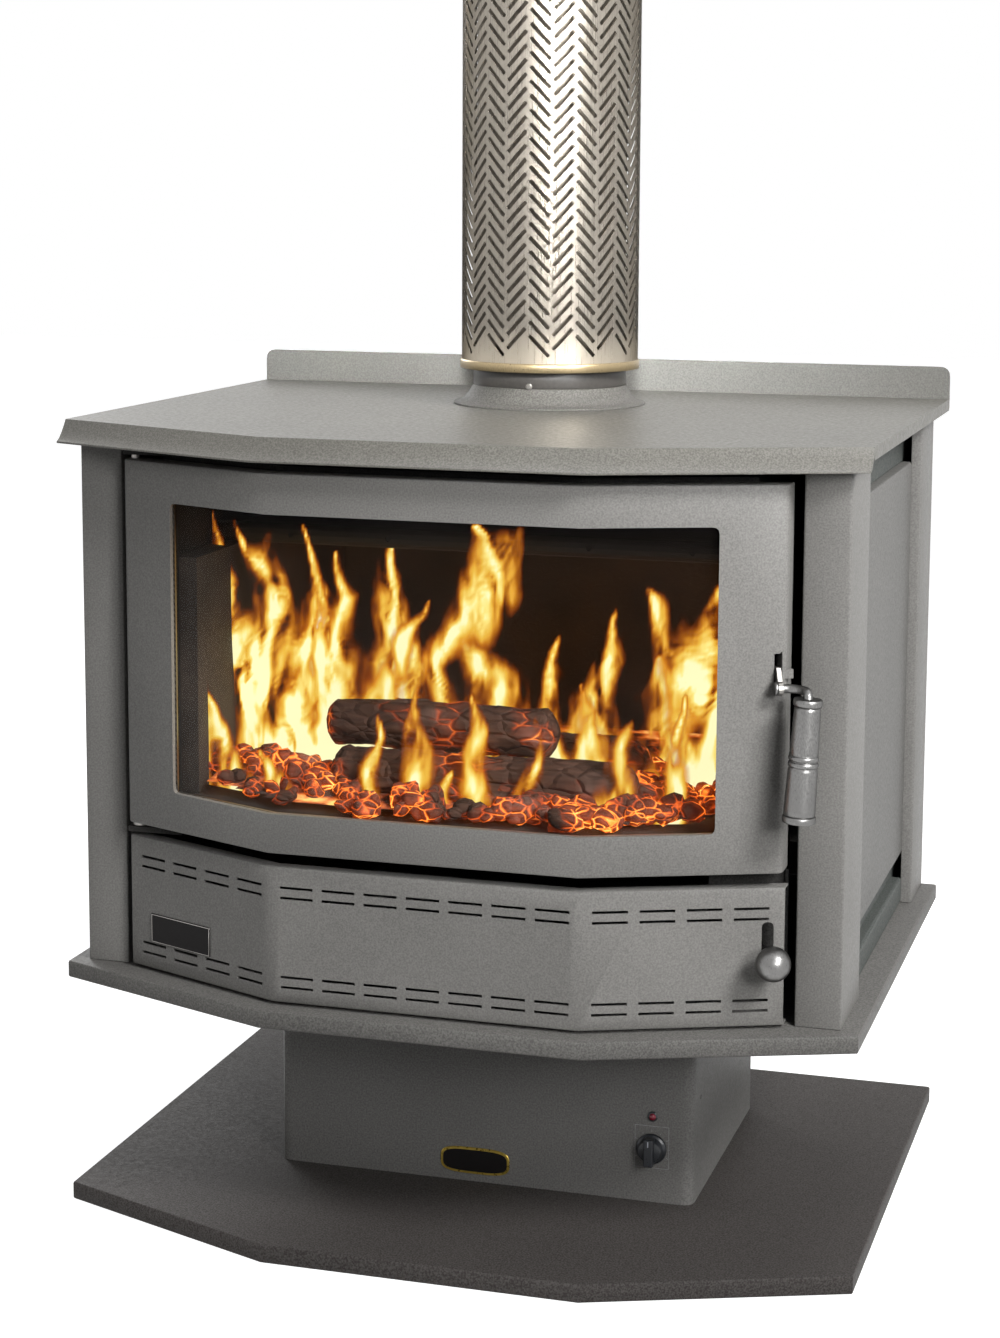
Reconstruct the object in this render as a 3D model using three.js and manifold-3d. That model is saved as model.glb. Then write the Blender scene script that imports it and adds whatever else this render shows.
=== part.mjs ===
// Wood burning stove with a bay front, on a pedestal that holds a convection fan.
// Millimetres, +Z up, the front faces -Y, origin at the middle of the footprint on the floor.
import * as THREE from 'three';
import Module from 'manifold-3d';
import { mergeGeometries, mergeVertices } from 'three/addons/utils/BufferGeometryUtils.js';

const wasm = await Module();
wasm.setup();

// Overall sizes
const slabWidth = 770;
const overallDepth = 629;
const baseThickness = 18;
const pedestalHeight = 207.5;
const trayThickness = 17;
const bodyHeight = 525;
const backY = overallDepth / 2;
const frontY = -backY;
const trayTop = baseThickness + pedestalHeight + trayThickness;
const lidTop = trayTop + bodyHeight;

// Fits shared by all pieces
const seat = 0.3;
const overrun = 20;
const plateWall = 3;
const sheetWall = 2;
const bendRadius = 3;
const edgeRadius = 2;
const halfWidth = slabWidth / 2;

// Base plate and hearth tray
const slabHalfFacet = 152.5;
const slabBayAngle = THREE.MathUtils.degToRad(21.2);
const baseFrontSetBack = 12;
const baseFront = frontY + baseFrontSetBack;
const baseRearSetIn = 7.5;
const baseBack = backY - baseRearSetIn;
const baseFlange = 24;
const trayFrontSetBack = 10.5;
const trayFront = frontY + trayFrontSetBack;

// Pedestal
const pedestalHalfWidth = 211;
const pedestalSetBack = 216;
const pedestalFront = frontY + pedestalSetBack;
const pedestalDepth = 280;
const pedestalRadius = 12;
const pedestalFlange = 16;
const pedestalTop = trayTop - plateWall - seat;
const pedestalBack = pedestalFront + pedestalDepth;
const intakeSlotLength = 60;
const intakeSlotHeight = 5;
const intakePitch = 20;
const intakeRows = 4;
const intakeOffset = 100;
const glandRadius = 8;
const glandFlangeRadius = 11;
const glandFlange = 4;
const glandReach = 12;
const glandBore = 3.5;
const glandSetIn = 51;
const glandX = glandSetIn - pedestalHalfWidth;
const glandRise = 42;
const glandZ = baseThickness + glandRise;
const sideHoleRadius = 2.5;
const sideHoleSetBack = 33;
const sideHoleY = pedestalFront + sideHoleSetBack;
const sideHoleRise = 98.7;
const sideHoleZ = baseThickness + sideHoleRise;

// Speed control
const knobSetIn = 40.7;
const knobX = pedestalHalfWidth - knobSetIn;
const knobRise = 54;
const knobZ = baseThickness + knobRise;
const knobRadius = 15;
const knobSkirt = 3;
const knobBodyRadius = 13.5;
const knobDepth = 8;
const knobGripWidth = 9;
const knobGripDepth = 7;
const knobBore = 3.2;
const knobBoreDepth = 9;
const switchShaftRadius = 2.9;
const switchBushRadius = 5;
const switchWidth = 34;
const switchHeight = 38;
const switchDepth = 26;
const lampRise = 32.3;
const lampZ = knobZ + lampRise;
const lampShift = 1;
const lampX = knobX + lampShift;
const lampRadius = 5;
const lampBezel = 1;
const lampDome = 2.5;
const lampDepth = 18;
const lampBodyRadius = 4;

// Fan
const fanY = pedestalFront + pedestalDepth / 2;
const fanZ = baseThickness + pedestalHeight / 2;
const wheelRadius = 58;
const wheelWidth = 84;
const wheelDisc = 3;
const wheelHubRadius = 11;
const wheelHubLength = 26;
const bladeCount = 9;
const bladeDepth = 16;
const bladeThickness = 1.6;
const bladeLean = 0.5;
const wheelRing = 3;
const shaftRadius = 4;
const scrollHalfWidth = 50;
const scrollGap = 9;
const scrollGrowth = 14;
const scrollWall = 2;
const outletDepth = 62;
const inletRadius = 46;
const motorRadius = 34;
const motorLength = 52;
const motorGap = 5;
const bracketFoot = 22;

// Top plate and splashback
const lidHalfFacet = 149.6;
const lidBayAngle = THREE.MathUtils.degToRad(22.5);
const lidWall = 3;
const lidSideFold = 12;
const fasciaReach = 18.4;
const fasciaDrop = 19.5;
const lipDrop = 1.8;
const splashWall = 2;
const splashHeight = 34;
const splashRadius = 11;
const splashOverlap = 10;

// Bay front: door, glass, landing and lower panel are parallel to one bay surface
const bayAngle = THREE.MathUtils.degToRad(22.5);
const bayHalfFacet = 146.4;
const baySetBack = 22.6;
const bayFront = frontY + baySetBack;
const doorBay = { front: bayFront, halfFacet: bayHalfFacet, angle: bayAngle };
const doorSetIn = 70;
const doorHalfWidth = halfWidth - doorSetIn;
const doorRise = 144.5;
const doorBottom = trayTop + doorRise;
const doorHeadGap = 33;
const doorHeight = bodyHeight - doorRise - doorHeadGap;
const doorThickness = 22;
const doorCorner = 5;
const doorStile = 56.5;
const doorRail = 37;
const windowHalfWidth = doorHalfWidth - doorStile;
const windowBottom = doorBottom + doorRail;
const windowHeight = doorHeight - 2 * doorRail;
const windowRadius = 6;
const glassSetBack = 6;
const glassWall = 4;
const glassLap = 11;
const glassFit = 1;
const retainerWall = 2.5;
const gasketWall = 2.5;
const gasketWidth = 9;
const sealDepth = 8;
const sealWidth = 9.5;
const sealLap = 23;

// Posts, side panels and shields
const postGap = 9.7;
const postInner = doorHalfWidth + postGap;
const postSetBack = 13.4;
const postFront = bayLine(doorBay, 0, postInner)[3][1] + postSetBack;
const postSetIn = 17.5;
const postOuter = halfWidth - postSetIn;
const postReturn = 100;
const postInnerReturn = 18;
const rearPostDepth = 84.5;
const rearPostFront = backY - rearPostDepth;
const rearPostSetIn = 15.6;
const rearPostOuter = halfWidth - rearPostSetIn;
const rearPostFace = 11.6;
const rearPostInner = rearPostOuter - rearPostFace;
const rearPostLip = 26;
const rearPostBack = backY - splashWall - seat;
const sidePanelSetIn = 26.5;
const sidePanelFace = halfWidth - sidePanelSetIn;
const sidePanelFlange = 11;
const sideSlotHeight = 27;
const sideRailHeight = 27;
const sideTopGap = 58.5;
const shieldFace = sidePanelFace - sidePanelFlange - seat;
const rearPanelBack = rearPostBack - sheetWall - seat;
const ventLength = 70;
const ventHeight = 8;
const ventPitch = 90;
const ventCount = 6;
const ventMargin = 40;

// Firebox
const fireboxWall = 5;
const fireboxSetIn = 31;
const fireboxHalfWidth = doorHalfWidth - fireboxSetIn;
const fireboxBackGap = 78.5;
const fireboxBack = backY - fireboxBackGap;
const fireboxDrop = 4;
const fireboxBottom = doorBottom - fireboxDrop;
const fireboxHeadGap = 29.5;
const fireboxTop = lidTop - fireboxHeadGap;
const mouthMargin = 10;
const brickThickness = 25;
const smokeGap = 80.4;
const brickFit = 1;
const baffleThickness = 12;
const baffleDepth = 306;
const baffleFront = fireboxBack - baffleDepth;
const airTubeRadius = 10;
const airTubeWall = 2;
const airHoleRadius = 3;
const airHolePitch = 100;
const airHoleCount = 5;
const spigotRadius = 72.5;
const spigotWall = 2.5;
const spigotHeight = 46;
const legSetIn = 46;
const legFlange = 24;
const legSetBack = 51.8;

// Firewood on the hearth brick
const logSides = 16;
const frontLogRadius = 27;
const rearLogRadius = 32;
const topLogRadius = 25;
const frontLogLength = 300;
const rearLogLength = 340;
const topLogLength = 230;
const logShift = 25;
const logSetBack = 134.5;
const logFrontY = frontY + logSetBack;
const logSpacing = 72;

// Flue
const flueSetIn = 187.8;
const flueY = backY - flueSetIn;
const flueRadius = 75;
const flueWall = 1.5;
const flueRise = 500;
const collarRadius = 78.1;
const collarTop = 38.5;
const coneRadius = 98.1;
const coneRise = 19.8;
const coneEdge = 1.5;
const roundSides = 28;

// Perforated casing
const casingSides = 24;
const casingRadius = 90;
const casingWall = 1.2;
const casingBottom = 36.9;
const casingLength = 440;
const casingTurn = THREE.MathUtils.degToRad(-73.9);
const slotLength = 25;
const slotWidth = 5;
const slotAngle = THREE.MathUtils.degToRad(47);
const slotPitch = 46;
const slotRows = 9;
const slotMargin = 27;
const bandHeight = 9;
const bandWall = 1.2;
const spacerHeight = 8;
const spacerArm = 14;
const spacerArms = 3;
const spacerInset = 3;

// Lower panel
const panelSetBack = 6.8;
const panelOverlap = 1.3;
const panelHalfWidth = doorHalfWidth + panelOverlap;
const panelRise = 2.9;
const panelBottom = trayTop + panelRise;
const panelHeadGap = 13.9;
const panelHeight = doorRise - panelRise - panelHeadGap;
const panelLip = 14;
const louvreLength = 32;
const louvreHeight = 2.6;
const louvrePitch = 40.3;
const louvreTopMargin = 19.2;
const louvreBottomMargin = 14.7;
const louvreRowPitch = 9.6;
const louvreCentreCount = 7;
const louvreSideCount = 4;
const louvreSideStart = 12.4;
const louvreSidePitch = 42.4;
const footSetIn = 116.3;
const footX = panelHalfWidth - footSetIn;
const footLength = 40;

// Air control
const airSlotWidth = 10.8;
const airSlotRise = 52.6;
const airSlotBottom = panelBottom + airSlotRise;
const airSlotHeight = 43.4;
const airSlotTop = airSlotBottom + airSlotHeight;
const airControlSetIn = 13.8;
const airControlX = panelHalfWidth - airControlSetIn;
const airControlRise = 12.6;
const airControlZ = airSlotBottom + airControlRise;
const airRodRadius = 4;
const airKnobRadius = 15.8;
const airKnobReach = 26;
const airSlideWidth = 66;
const airSlideHeight = 52;
const airSlideWall = 3;
const airSlideDepth = 24;
const airSlideRight = 20;
const airGuideWall = 3;
const airGuideFlange = 40;
const airPortMargin = 12;
const airTravel = 26;

// Latch: depths are measured from its pivot, and heights from the pivot too
const latchSetIn = 7;
const latchX = doorHalfWidth - latchSetIn;
const latchHeightShare = 0.5111;
const latchZ = doorBottom + latchHeightShare * doorHeight;
const latchPivotDepth = 31;
const latchPivotRadius = 4;
const latchEar = 7;
const latchEarWall = 3;
const latchSlotWidth = 6.4;
const latchSlotBelow = 11.5;
const latchSlotAbove = 20.8;
const latchPlate = 4;
const latchArm = 8;
const latchHump = 9;
const latchEye = 6.2;
const latchBoss = 6.6;
const latchTip = 4;
const latchRodReach = 12;
const latchRodDrop = 8;
const latchRodRadius = 4;
const latchCapRadius = 6.1;
const latchCapLength = 3;
const catchNose = 8;
const catchFar = 16;
const catchBottom = 5;
const catchArmBottom = 16;
const catchTop = 40;
const catchBase = 30;
const gripShift = 20.5;
const gripOut = 21;
const gripDrop = 5;
const gripSocket = 8;
const gripCounterbore = 5.8;
const gripLean = THREE.MathUtils.degToRad(3.4);
const gripLength = 110;
const gripTopRadius = 11.5;
const gripEndRadius = 14.2;
const gripRingRadius = 13.1;
const gripFlangeRadius = 15;
const gripRing = 6.5;
const gripGroove = 1;
const guideWidth = 2.4;
const guideReach = 4;
const guideDrop = 2;
const lugReach = 14;
const lugDrop = 1.3;
const lugHeight = 8;

// Door hinge
const hingeSetIn = 8;
const hingeSetBack = 10.4;
const hingePinRadius = 4;
const hingePinEngage = 18;
const hingeHeadRadius = 7;
const hingePlate = 5;
const hingePlateEdge = 9;
const hingePlateReach = 46;

// Materials
const paint = (colour, roughness) =>
  new THREE.MeshStandardMaterial({ color: colour, roughness, metalness: 0.35 });
const metal = (colour, roughness) =>
  new THREE.MeshStandardMaterial({ color: colour, roughness, metalness: 1 });
const dull = (colour, roughness) =>
  new THREE.MeshStandardMaterial({ color: colour, roughness, metalness: 0 });
const charcoal = () => paint(0x6e6c68, 0.5);
const darkPaint = () => paint(0x3a3735, 0.5);
const topPaint = () => paint(0x8b8c80, 0.5);
const steel = () => metal(0x8d8a84, 0.4);
const blackSteel = () => paint(0x1d1c1b, 0.7);
const stainless = () => metal(0xc2b8a8, 0.3);
const pewter = () => metal(0x8f8e8c, 0.35);
const brick = () => dull(0x8a7a68, 0.95);
const rope = () => dull(0x3b3833, 0.95);
const glazing = () => new THREE.MeshStandardMaterial({
  color: 0x8f8578, roughness: 0.05, metalness: 0, transparent: true, opacity: 0.25,
});

const stove = new THREE.Group();

function addPiece(parent, name, geometry, material) {
  const mesh = new THREE.Mesh(geometry, material);
  mesh.name = name;
  parent.add(mesh);
  return mesh;
}

// A copy with only its positions, and with the vertices that its faces share merged
function bareOf(geometry) {
  const bare = geometry.clone();
  bare.deleteAttribute('normal');
  bare.deleteAttribute('uv');
  return mergeVertices(bare);
}

// Turns a closed geometry into a solid that can be joined and cut.
function toSolid(geometry) {
  const merged = bareOf(geometry);
  const vertProperties = new Float32Array(merged.attributes.position.array);
  const triVerts = new Uint32Array(merged.index.array);
  return new wasm.Manifold(new wasm.Mesh({ numProp: 3, vertProperties, triVerts }));
}

function toGeometry(solid) {
  const mesh = solid.getMesh();
  const geometry = new THREE.BufferGeometry();
  geometry.setAttribute('position', new THREE.BufferAttribute(new Float32Array(mesh.vertProperties), 3));
  geometry.setIndex(new THREE.BufferAttribute(new Uint32Array(mesh.triVerts), 1));
  geometry.computeVertexNormals();
  return geometry;
}

function cut(geometry, ...tools) {
  let solid = toSolid(geometry);
  for (const tool of tools) {
    solid = solid.subtract(toSolid(tool));
  }
  return toGeometry(solid);
}

function join(...geometries) {
  let solid = toSolid(geometries[0]);
  for (const geometry of geometries.slice(1)) {
    solid = solid.add(toSolid(geometry));
  }
  return toGeometry(solid);
}

function common(first, second) {
  return toGeometry(toSolid(first).intersect(toSolid(second)));
}

// Basic forms, each placed by its own ranges
function box(x0, x1, y0, y1, z0, z1) {
  const geometry = new THREE.BoxGeometry(x1 - x0, y1 - y0, z1 - z0);
  return geometry.translate((x0 + x1) / 2, (y0 + y1) / 2, (z0 + z1) / 2);
}

function rodAlong(axis, radius, start, end, sides = 16) {
  const geometry = new THREE.CylinderGeometry(radius, radius, end - start, sides);
  geometry.translate(0, (start + end) / 2, 0);
  if (axis === 'x') {
    return geometry.rotateZ(-Math.PI / 2);
  }
  if (axis === 'z') {
    return geometry.rotateX(Math.PI / 2);
  }
  return geometry;
}

// A round piece about +Z; the outline is a list of radius and height pairs that closes on itself.
function turned(outline, sides = roundSides) {
  const points = outline.map(([radius, height]) => new THREE.Vector2(radius, height));
  const onAxis = points[0].x === 0;
  if (!onAxis) {
    points.push(points[0].clone());
  }
  return new THREE.LatheGeometry(points, sides).rotateX(Math.PI / 2);
}

function ring(outer, inner, bottom, top, sides = roundSides) {
  return turned([[inner, bottom], [outer, bottom], [outer, top], [inner, top]], sides);
}

function shapeOf(points) {
  return new THREE.Shape(points.map(([x, y]) => new THREE.Vector2(x, y)));
}

// An outline with each corner rounded by its own radius
function roundedShape(points, radii) {
  const shape = new THREE.Shape();
  points.forEach((point, index) => {
    const corner = new THREE.Vector2(...point);
    const before = new THREE.Vector2(...points.at(index - 1));
    const after = new THREE.Vector2(...points[(index + 1) % points.length]);
    const radius = Array.isArray(radii) ? radii[index] : radii;
    const arrive = before.sub(corner).setLength(radius).add(corner);
    const leave = after.sub(corner).setLength(radius).add(corner);
    if (index === 0) {
      shape.moveTo(arrive.x, arrive.y);
    } else {
      shape.lineTo(arrive.x, arrive.y);
    }
    if (radius > 0) {
      shape.quadraticCurveTo(corner.x, corner.y, leave.x, leave.y);
    }
  });
  shape.closePath();
  return shape;
}

function risen(shape, bottom, top, curveSegments = 4) {
  const depth = top - bottom;
  const geometry = new THREE.ExtrudeGeometry(shape, { depth, bevelEnabled: false, curveSegments });
  return geometry.translate(0, 0, bottom);
}

// A rising plate whose upper and lower edges are rounded
function softPlate(shape, bottom, top, radius, curveSegments = 3) {
  const geometry = new THREE.ExtrudeGeometry(shape, {
    depth: top - bottom - 2 * radius,
    bevelThickness: radius,
    bevelSize: radius,
    bevelOffset: -radius,
    bevelSegments: 2,
    curveSegments,
  });
  return geometry.translate(0, 0, bottom + radius);
}

// A shape drawn in X and Z, as deep as the given range of Y
function upright(shape, near, far, curveSegments = 4) {
  const depth = far - near;
  const geometry = new THREE.ExtrudeGeometry(shape, { depth, bevelEnabled: false, curveSegments });
  return geometry.rotateX(Math.PI / 2).translate(0, far, 0);
}

function rectangle(x0, x1, z0, z1) {
  return [[x0, z0], [x1, z0], [x1, z1], [x0, z1]];
}

// An open line of points with each inner corner replaced by a short arc
function withBends(points, radius) {
  const arcSteps = 2;
  const line = [new THREE.Vector2(...points[0])];
  for (let index = 1; index < points.length - 1; index += 1) {
    const corner = new THREE.Vector2(...points[index]);
    const arrive = new THREE.Vector2(...points[index - 1]).sub(corner).setLength(radius).add(corner);
    const leave = new THREE.Vector2(...points[index + 1]).sub(corner).setLength(radius).add(corner);
    const arc = new THREE.QuadraticBezierCurve(arrive, corner, leave);
    line.push(...arc.getPoints(arcSteps));
  }
  line.push(new THREE.Vector2(...points.at(-1)));
  return line;
}

// The offset of a corner between two edges, from the unit normals of both
function miter(first, second, distance) {
  const spread = 1 + first.dot(second);
  return first.clone().add(second).multiplyScalar(distance / spread);
}

// Folded sheet: the line is one face, and the sheet lies to the left of it as it is followed.
function fold(points, wall, radius) {
  const line = withBends(points, radius);
  const normals = line.slice(1).map((point, index) => {
    const along = point.clone().sub(line[index]).normalize();
    return new THREE.Vector2(-along.y, along.x);
  });
  const inner = line.map((point, index) => {
    const first = normals[Math.max(index - 1, 0)];
    const second = normals[Math.min(index, normals.length - 1)];
    return point.clone().add(miter(first, second, wall));
  });
  return new THREE.Shape([...line, ...inner.reverse()]);
}

// A closed outline, followed anticlockwise, moved inward by the given distance
function inset(points, distance) {
  const corners = points.map(([x, y]) => new THREE.Vector2(x, y));
  return corners.map((corner, index) => {
    const before = corner.clone().sub(corners.at(index - 1)).normalize();
    const after = corners[(index + 1) % corners.length].clone().sub(corner).normalize();
    const first = new THREE.Vector2(-before.y, before.x);
    const second = new THREE.Vector2(-after.y, after.x);
    const moved = corner.clone().add(miter(first, second, distance));
    return [moved.x, moved.y];
  });
}

// The four points of a bay surface that lies the given depth behind the bay's front
function bayLine(bay, depth, reach) {
  const halfFacet = bay.halfFacet - depth * Math.tan(bay.angle / 2);
  const front = bay.front + depth;
  const side = front + (reach - halfFacet) * Math.tan(bay.angle);
  return [[-reach, side], [-halfFacet, front], [halfFacet, front], [reach, side]];
}

function bayBand(bay, near, far, reach) {
  return [...bayLine(bay, near, reach), ...bayLine(bay, far, reach).reverse()];
}

function bayOutline(bay, depth, reach, back) {
  return [...bayLine(bay, depth, reach), [reach, back], [-reach, back]];
}

const baseBay = { front: baseFront, halfFacet: slabHalfFacet, angle: slabBayAngle };
const trayBay = { front: trayFront, halfFacet: slabHalfFacet, angle: slabBayAngle };

const landingDepth = doorThickness + sealDepth + 2 * seat;
const legFront = bayLine(doorBay, landingDepth, fireboxHalfWidth)[3][1] + legSetBack;
const lidBay = { front: frontY + fasciaReach, halfFacet: lidHalfFacet, angle: lidBayAngle };
const outletBack = fanY + wheelRadius + scrollGap + scrollGrowth;
const outletFront = outletBack - outletDepth;
const lidUnder = lidTop - lidWall - seat;
const bodyFloor = trayTop + seat;

function makeBasePlate() {
  const outline = bayOutline(baseBay, 0, halfWidth, baseBack);
  const slab = softPlate(shapeOf(outline), 0, baseThickness, edgeRadius);
  const hollow = risen(shapeOf(inset(outline, plateWall)), plateWall, baseThickness - plateWall);
  const mouth = risen(shapeOf(inset(outline, baseFlange)), -overrun, plateWall + seat);
  addPiece(stove, 'base_plate', cut(slab, join(hollow, mouth)), darkPaint());
}

function makeHearthTray() {
  const outline = bayOutline(trayBay, 0, halfWidth, backY);
  const bottom = trayTop - trayThickness;
  const slab = softPlate(shapeOf(outline), bottom, trayTop, edgeRadius);
  const hollow = risen(shapeOf(inset(outline, plateWall)), bottom - overrun, trayTop - plateWall);
  const airHole = box(-scrollHalfWidth, scrollHalfWidth, outletFront, outletBack, bottom, trayTop + overrun);
  addPiece(stove, 'hearth_tray', cut(slab, hollow, airHole), charcoal());
}

function pedestalOutline(wall) {
  const outline = inset([
    [pedestalHalfWidth, pedestalBack],
    [-pedestalHalfWidth, pedestalBack],
    [-pedestalHalfWidth, pedestalFront],
    [pedestalHalfWidth, pedestalFront],
  ], wall);
  return roundedShape(outline, [0, 0, pedestalRadius - wall, pedestalRadius - wall]);
}

function makePedestal() {
  const pedestal = new THREE.Group();
  pedestal.position.z = baseThickness + seat;
  stove.add(pedestal);
  const height = pedestalTop - pedestal.position.z;
  const windowReach = pedestalHalfWidth - pedestalFlange;
  const shell = cut(
    risen(pedestalOutline(0), 0, height),
    risen(pedestalOutline(sheetWall), -overrun, height + overrun),
    box(-windowReach, windowReach, pedestalBack - overrun, pedestalBack + overrun, 0, height),
    rodAlong('y', switchBushRadius + seat, -overrun, overrun)
      .translate(knobX, pedestalFront, knobZ - pedestal.position.z),
    rodAlong('y', lampBodyRadius + seat, -overrun, overrun)
      .translate(lampX, pedestalFront, lampZ - pedestal.position.z),
    rodAlong('x', sideHoleRadius, -overrun, overrun, 12)
      .translate(pedestalHalfWidth, sideHoleY, sideHoleZ - pedestal.position.z),
  );
  addPiece(pedestal, 'pedestal_shell', shell, charcoal());
  makeRearCover(pedestal, height);
}

// The cover closes the back of the pedestal and lets the fan draw air through two sets of slots.
function makeRearCover(pedestal, height) {
  const reach = pedestalHalfWidth - sheetWall - seat;
  const back = pedestalBack - sheetWall - seat;
  const cover = box(-reach, reach, back - sheetWall, back, 0, height);
  const holes = [];
  for (const side of [-1, 1]) {
    for (let row = 0; row < intakeRows; row += 1) {
      const middle = height / 2 + (row - (intakeRows - 1) / 2) * intakePitch;
      const centre = side * intakeOffset;
      holes.push(box(
        centre - intakeSlotLength / 2, centre + intakeSlotLength / 2,
        back - overrun, back + overrun,
        middle - intakeSlotHeight / 2, middle + intakeSlotHeight / 2,
      ));
    }
  }
  const glandHeight = glandZ - pedestal.position.z;
  holes.push(rodAlong('y', glandRadius + seat, -overrun, overrun, 16).translate(glandX, back, glandHeight));
  addPiece(pedestal, 'pedestal_rear_cover', cut(cover, ...holes), charcoal());
  const gland = cut(
    join(
      rodAlong('y', glandRadius, back - glandReach, back + glandReach, 16),
      rodAlong('y', glandFlangeRadius, back + seat, back + seat + glandFlange, 6),
    ),
    rodAlong('y', glandBore, back - overrun, back + overrun, 12),
  );
  addPiece(pedestal, 'cable_gland', gland, dull(0x161616, 0.6)).position.set(glandX, 0, glandHeight);
}

function makeSpeedControl() {
  const control = new THREE.Group();
  control.position.set(knobX, pedestalFront, knobZ);
  stove.add(control);
  const behind = sheetWall + seat;
  const switchBody = join(
    box(-switchWidth / 2, switchWidth / 2, behind, behind + switchDepth, -switchHeight / 2, switchHeight / 2),
    rodAlong('y', switchBushRadius, -seat, behind + sheetWall, 16),
    rodAlong('y', switchShaftRadius, -knobBoreDepth, behind + sheetWall, 12),
  );
  addPiece(control, 'speed_switch', switchBody, dull(0x2b2b2b, 0.5));
  const face = -2 * seat;
  const top = face - knobSkirt - knobDepth;
  const body = join(
    rodAlong('y', knobRadius, face - knobSkirt, face, 20),
    rodAlong('y', knobBodyRadius, top, face, 20),
    common(
      rodAlong('y', knobRadius, top - knobGripDepth, face, 20),
      box(-knobGripWidth / 2, knobGripWidth / 2, top - knobGripDepth, face, -knobRadius, knobRadius),
    ),
  );
  const bore = rodAlong('y', knobBore, -knobBoreDepth - seat, overrun, 12);
  addPiece(control, 'fan_speed_knob', cut(body, bore), dull(0x17191c, 0.4));
  const lamp = join(
    rodAlong('y', lampBodyRadius, -seat - lampBezel, lampDepth, 12),
    rodAlong('y', lampRadius, -seat - lampBezel, -seat, 12),
    new THREE.SphereGeometry(lampBodyRadius, 12, 6).scale(1, lampDome / lampBodyRadius, 1)
      .translate(0, -seat - lampBezel, 0),
  );
  const lampMesh = addPiece(control, 'indicator_lamp', lamp, dull(0x7a1020, 0.25));
  lampMesh.position.set(lampX - knobX, 0, lampZ - knobZ);
}

// The scroll in side view: a spiral that grows toward the back and opens upward.
function scrollShape(wall, top) {
  const start = wheelRadius + scrollGap + wall;
  const frontWall = outletFront - fanY - wall;
  const backWall = outletBack - fanY + wall;
  const steps = 12;
  const points = [];
  for (let step = 0; step <= steps; step += 1) {
    const radius = start + scrollGrowth * step / steps;
    const angle = Math.PI * (1 + step / steps);
    points.push([radius * Math.cos(angle), radius * Math.sin(angle)]);
  }
  points.push([backWall, top], [frontWall, top]);
  const meeting = Math.acos(frontWall / start);
  const roofSteps = steps / 2;
  for (let step = 0; step < roofSteps; step += 1) {
    const angle = meeting + (Math.PI - meeting) * step / roofSteps;
    points.push([start * Math.cos(angle), start * Math.sin(angle)]);
  }
  return shapeOf(points);
}

// Twin inlet blower: the wheel turns on the motor shaft inside the scroll.
function makeFan() {
  const fan = new THREE.Group();
  fan.position.set(0, fanY, fanZ);
  stove.add(fan);
  const top = pedestalTop - fanZ;
  const floor = baseThickness + seat - fanZ;
  const acrossX = (geometry) => geometry.rotateX(Math.PI / 2).rotateZ(Math.PI / 2);
  const outer = acrossX(risen(scrollShape(scrollWall, top), -scrollHalfWidth, scrollHalfWidth));
  const reach = scrollHalfWidth - scrollWall;
  const hollow = acrossX(risen(scrollShape(0, top + overrun), -reach, reach));
  const inlets = rodAlong('x', inletRadius, -scrollHalfWidth - overrun, scrollHalfWidth + overrun, 24);
  const foot = box(-scrollHalfWidth, scrollHalfWidth, -bracketFoot, bracketFoot, floor, 0);
  addPiece(fan, 'fan_scroll', cut(join(outer, foot), join(hollow, inlets)), steel());
  makeFanWheel(fan);
  makeFanMotor(fan, floor);
}

function makeFanWheel(fan) {
  const half = wheelWidth / 2;
  const blades = [];
  for (let index = 0; index < bladeCount; index += 1) {
    const blade = box(-half, half, -bladeThickness / 2, bladeThickness / 2, -bladeDepth / 2, bladeDepth / 2);
    blade.rotateX(bladeLean).translate(0, 0, wheelRadius - bladeDepth / 2 - wheelRing / 2);
    blades.push(blade.rotateX(2 * Math.PI * index / bladeCount));
  }
  const hoop = (from) => cut(
    rodAlong('x', wheelRadius, from, from + wheelRing, bladeCount),
    rodAlong('x', wheelRadius - bladeDepth, from - overrun, from + overrun, bladeCount),
  );
  const wheel = cut(
    join(
      rodAlong('x', wheelRadius, -wheelDisc / 2, wheelDisc / 2, bladeCount),
      rodAlong('x', wheelHubRadius, -wheelHubLength / 2, wheelHubLength / 2, 12),
      hoop(-half),
      hoop(half - wheelRing),
      ...blades,
    ),
    rodAlong('x', shaftRadius + seat, -half - overrun, half + overrun, 12),
  );
  addPiece(fan, 'fan_wheel', wheel, steel());
}

function makeFanMotor(fan, floor) {
  const start = scrollHalfWidth + motorGap;
  const end = start + motorLength;
  const motor = join(
    rodAlong('x', motorRadius, start, end, 24),
    rodAlong('x', shaftRadius, -wheelHubLength, end, 12),
  );
  addPiece(fan, 'fan_motor', motor, metal(0x6d6a66, 0.45));
  const webs = [start + plateWall, end - 2 * plateWall].map(
    (near) => box(near, near + plateWall, -motorRadius, motorRadius, floor, 0),
  );
  const foot = box(start, end, -motorRadius, motorRadius, floor, floor + plateWall);
  const cradle = rodAlong('x', motorRadius + seat, 0, end + overrun, 24);
  addPiece(fan, 'fan_bracket', cut(join(foot, ...webs), cradle), steel());
}

// Turns the faces of a closed geometry over if they point inward.
function faceOutward(geometry) {
  const position = geometry.attributes.position;
  const index = geometry.index.array;
  let volume = 0;
  const corners = [new THREE.Vector3(), new THREE.Vector3(), new THREE.Vector3()];
  for (let face = 0; face < index.length; face += 3) {
    corners.forEach((corner, side) => corner.fromBufferAttribute(position, index[face + side]));
    volume += corners[0].dot(corners[1].cross(corners[2]));
  }
  if (volume < 0) {
    for (let face = 0; face < index.length; face += 3) {
      [index[face], index[face + 1]] = [index[face + 1], index[face]];
    }
  }
  return geometry;
}

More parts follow.
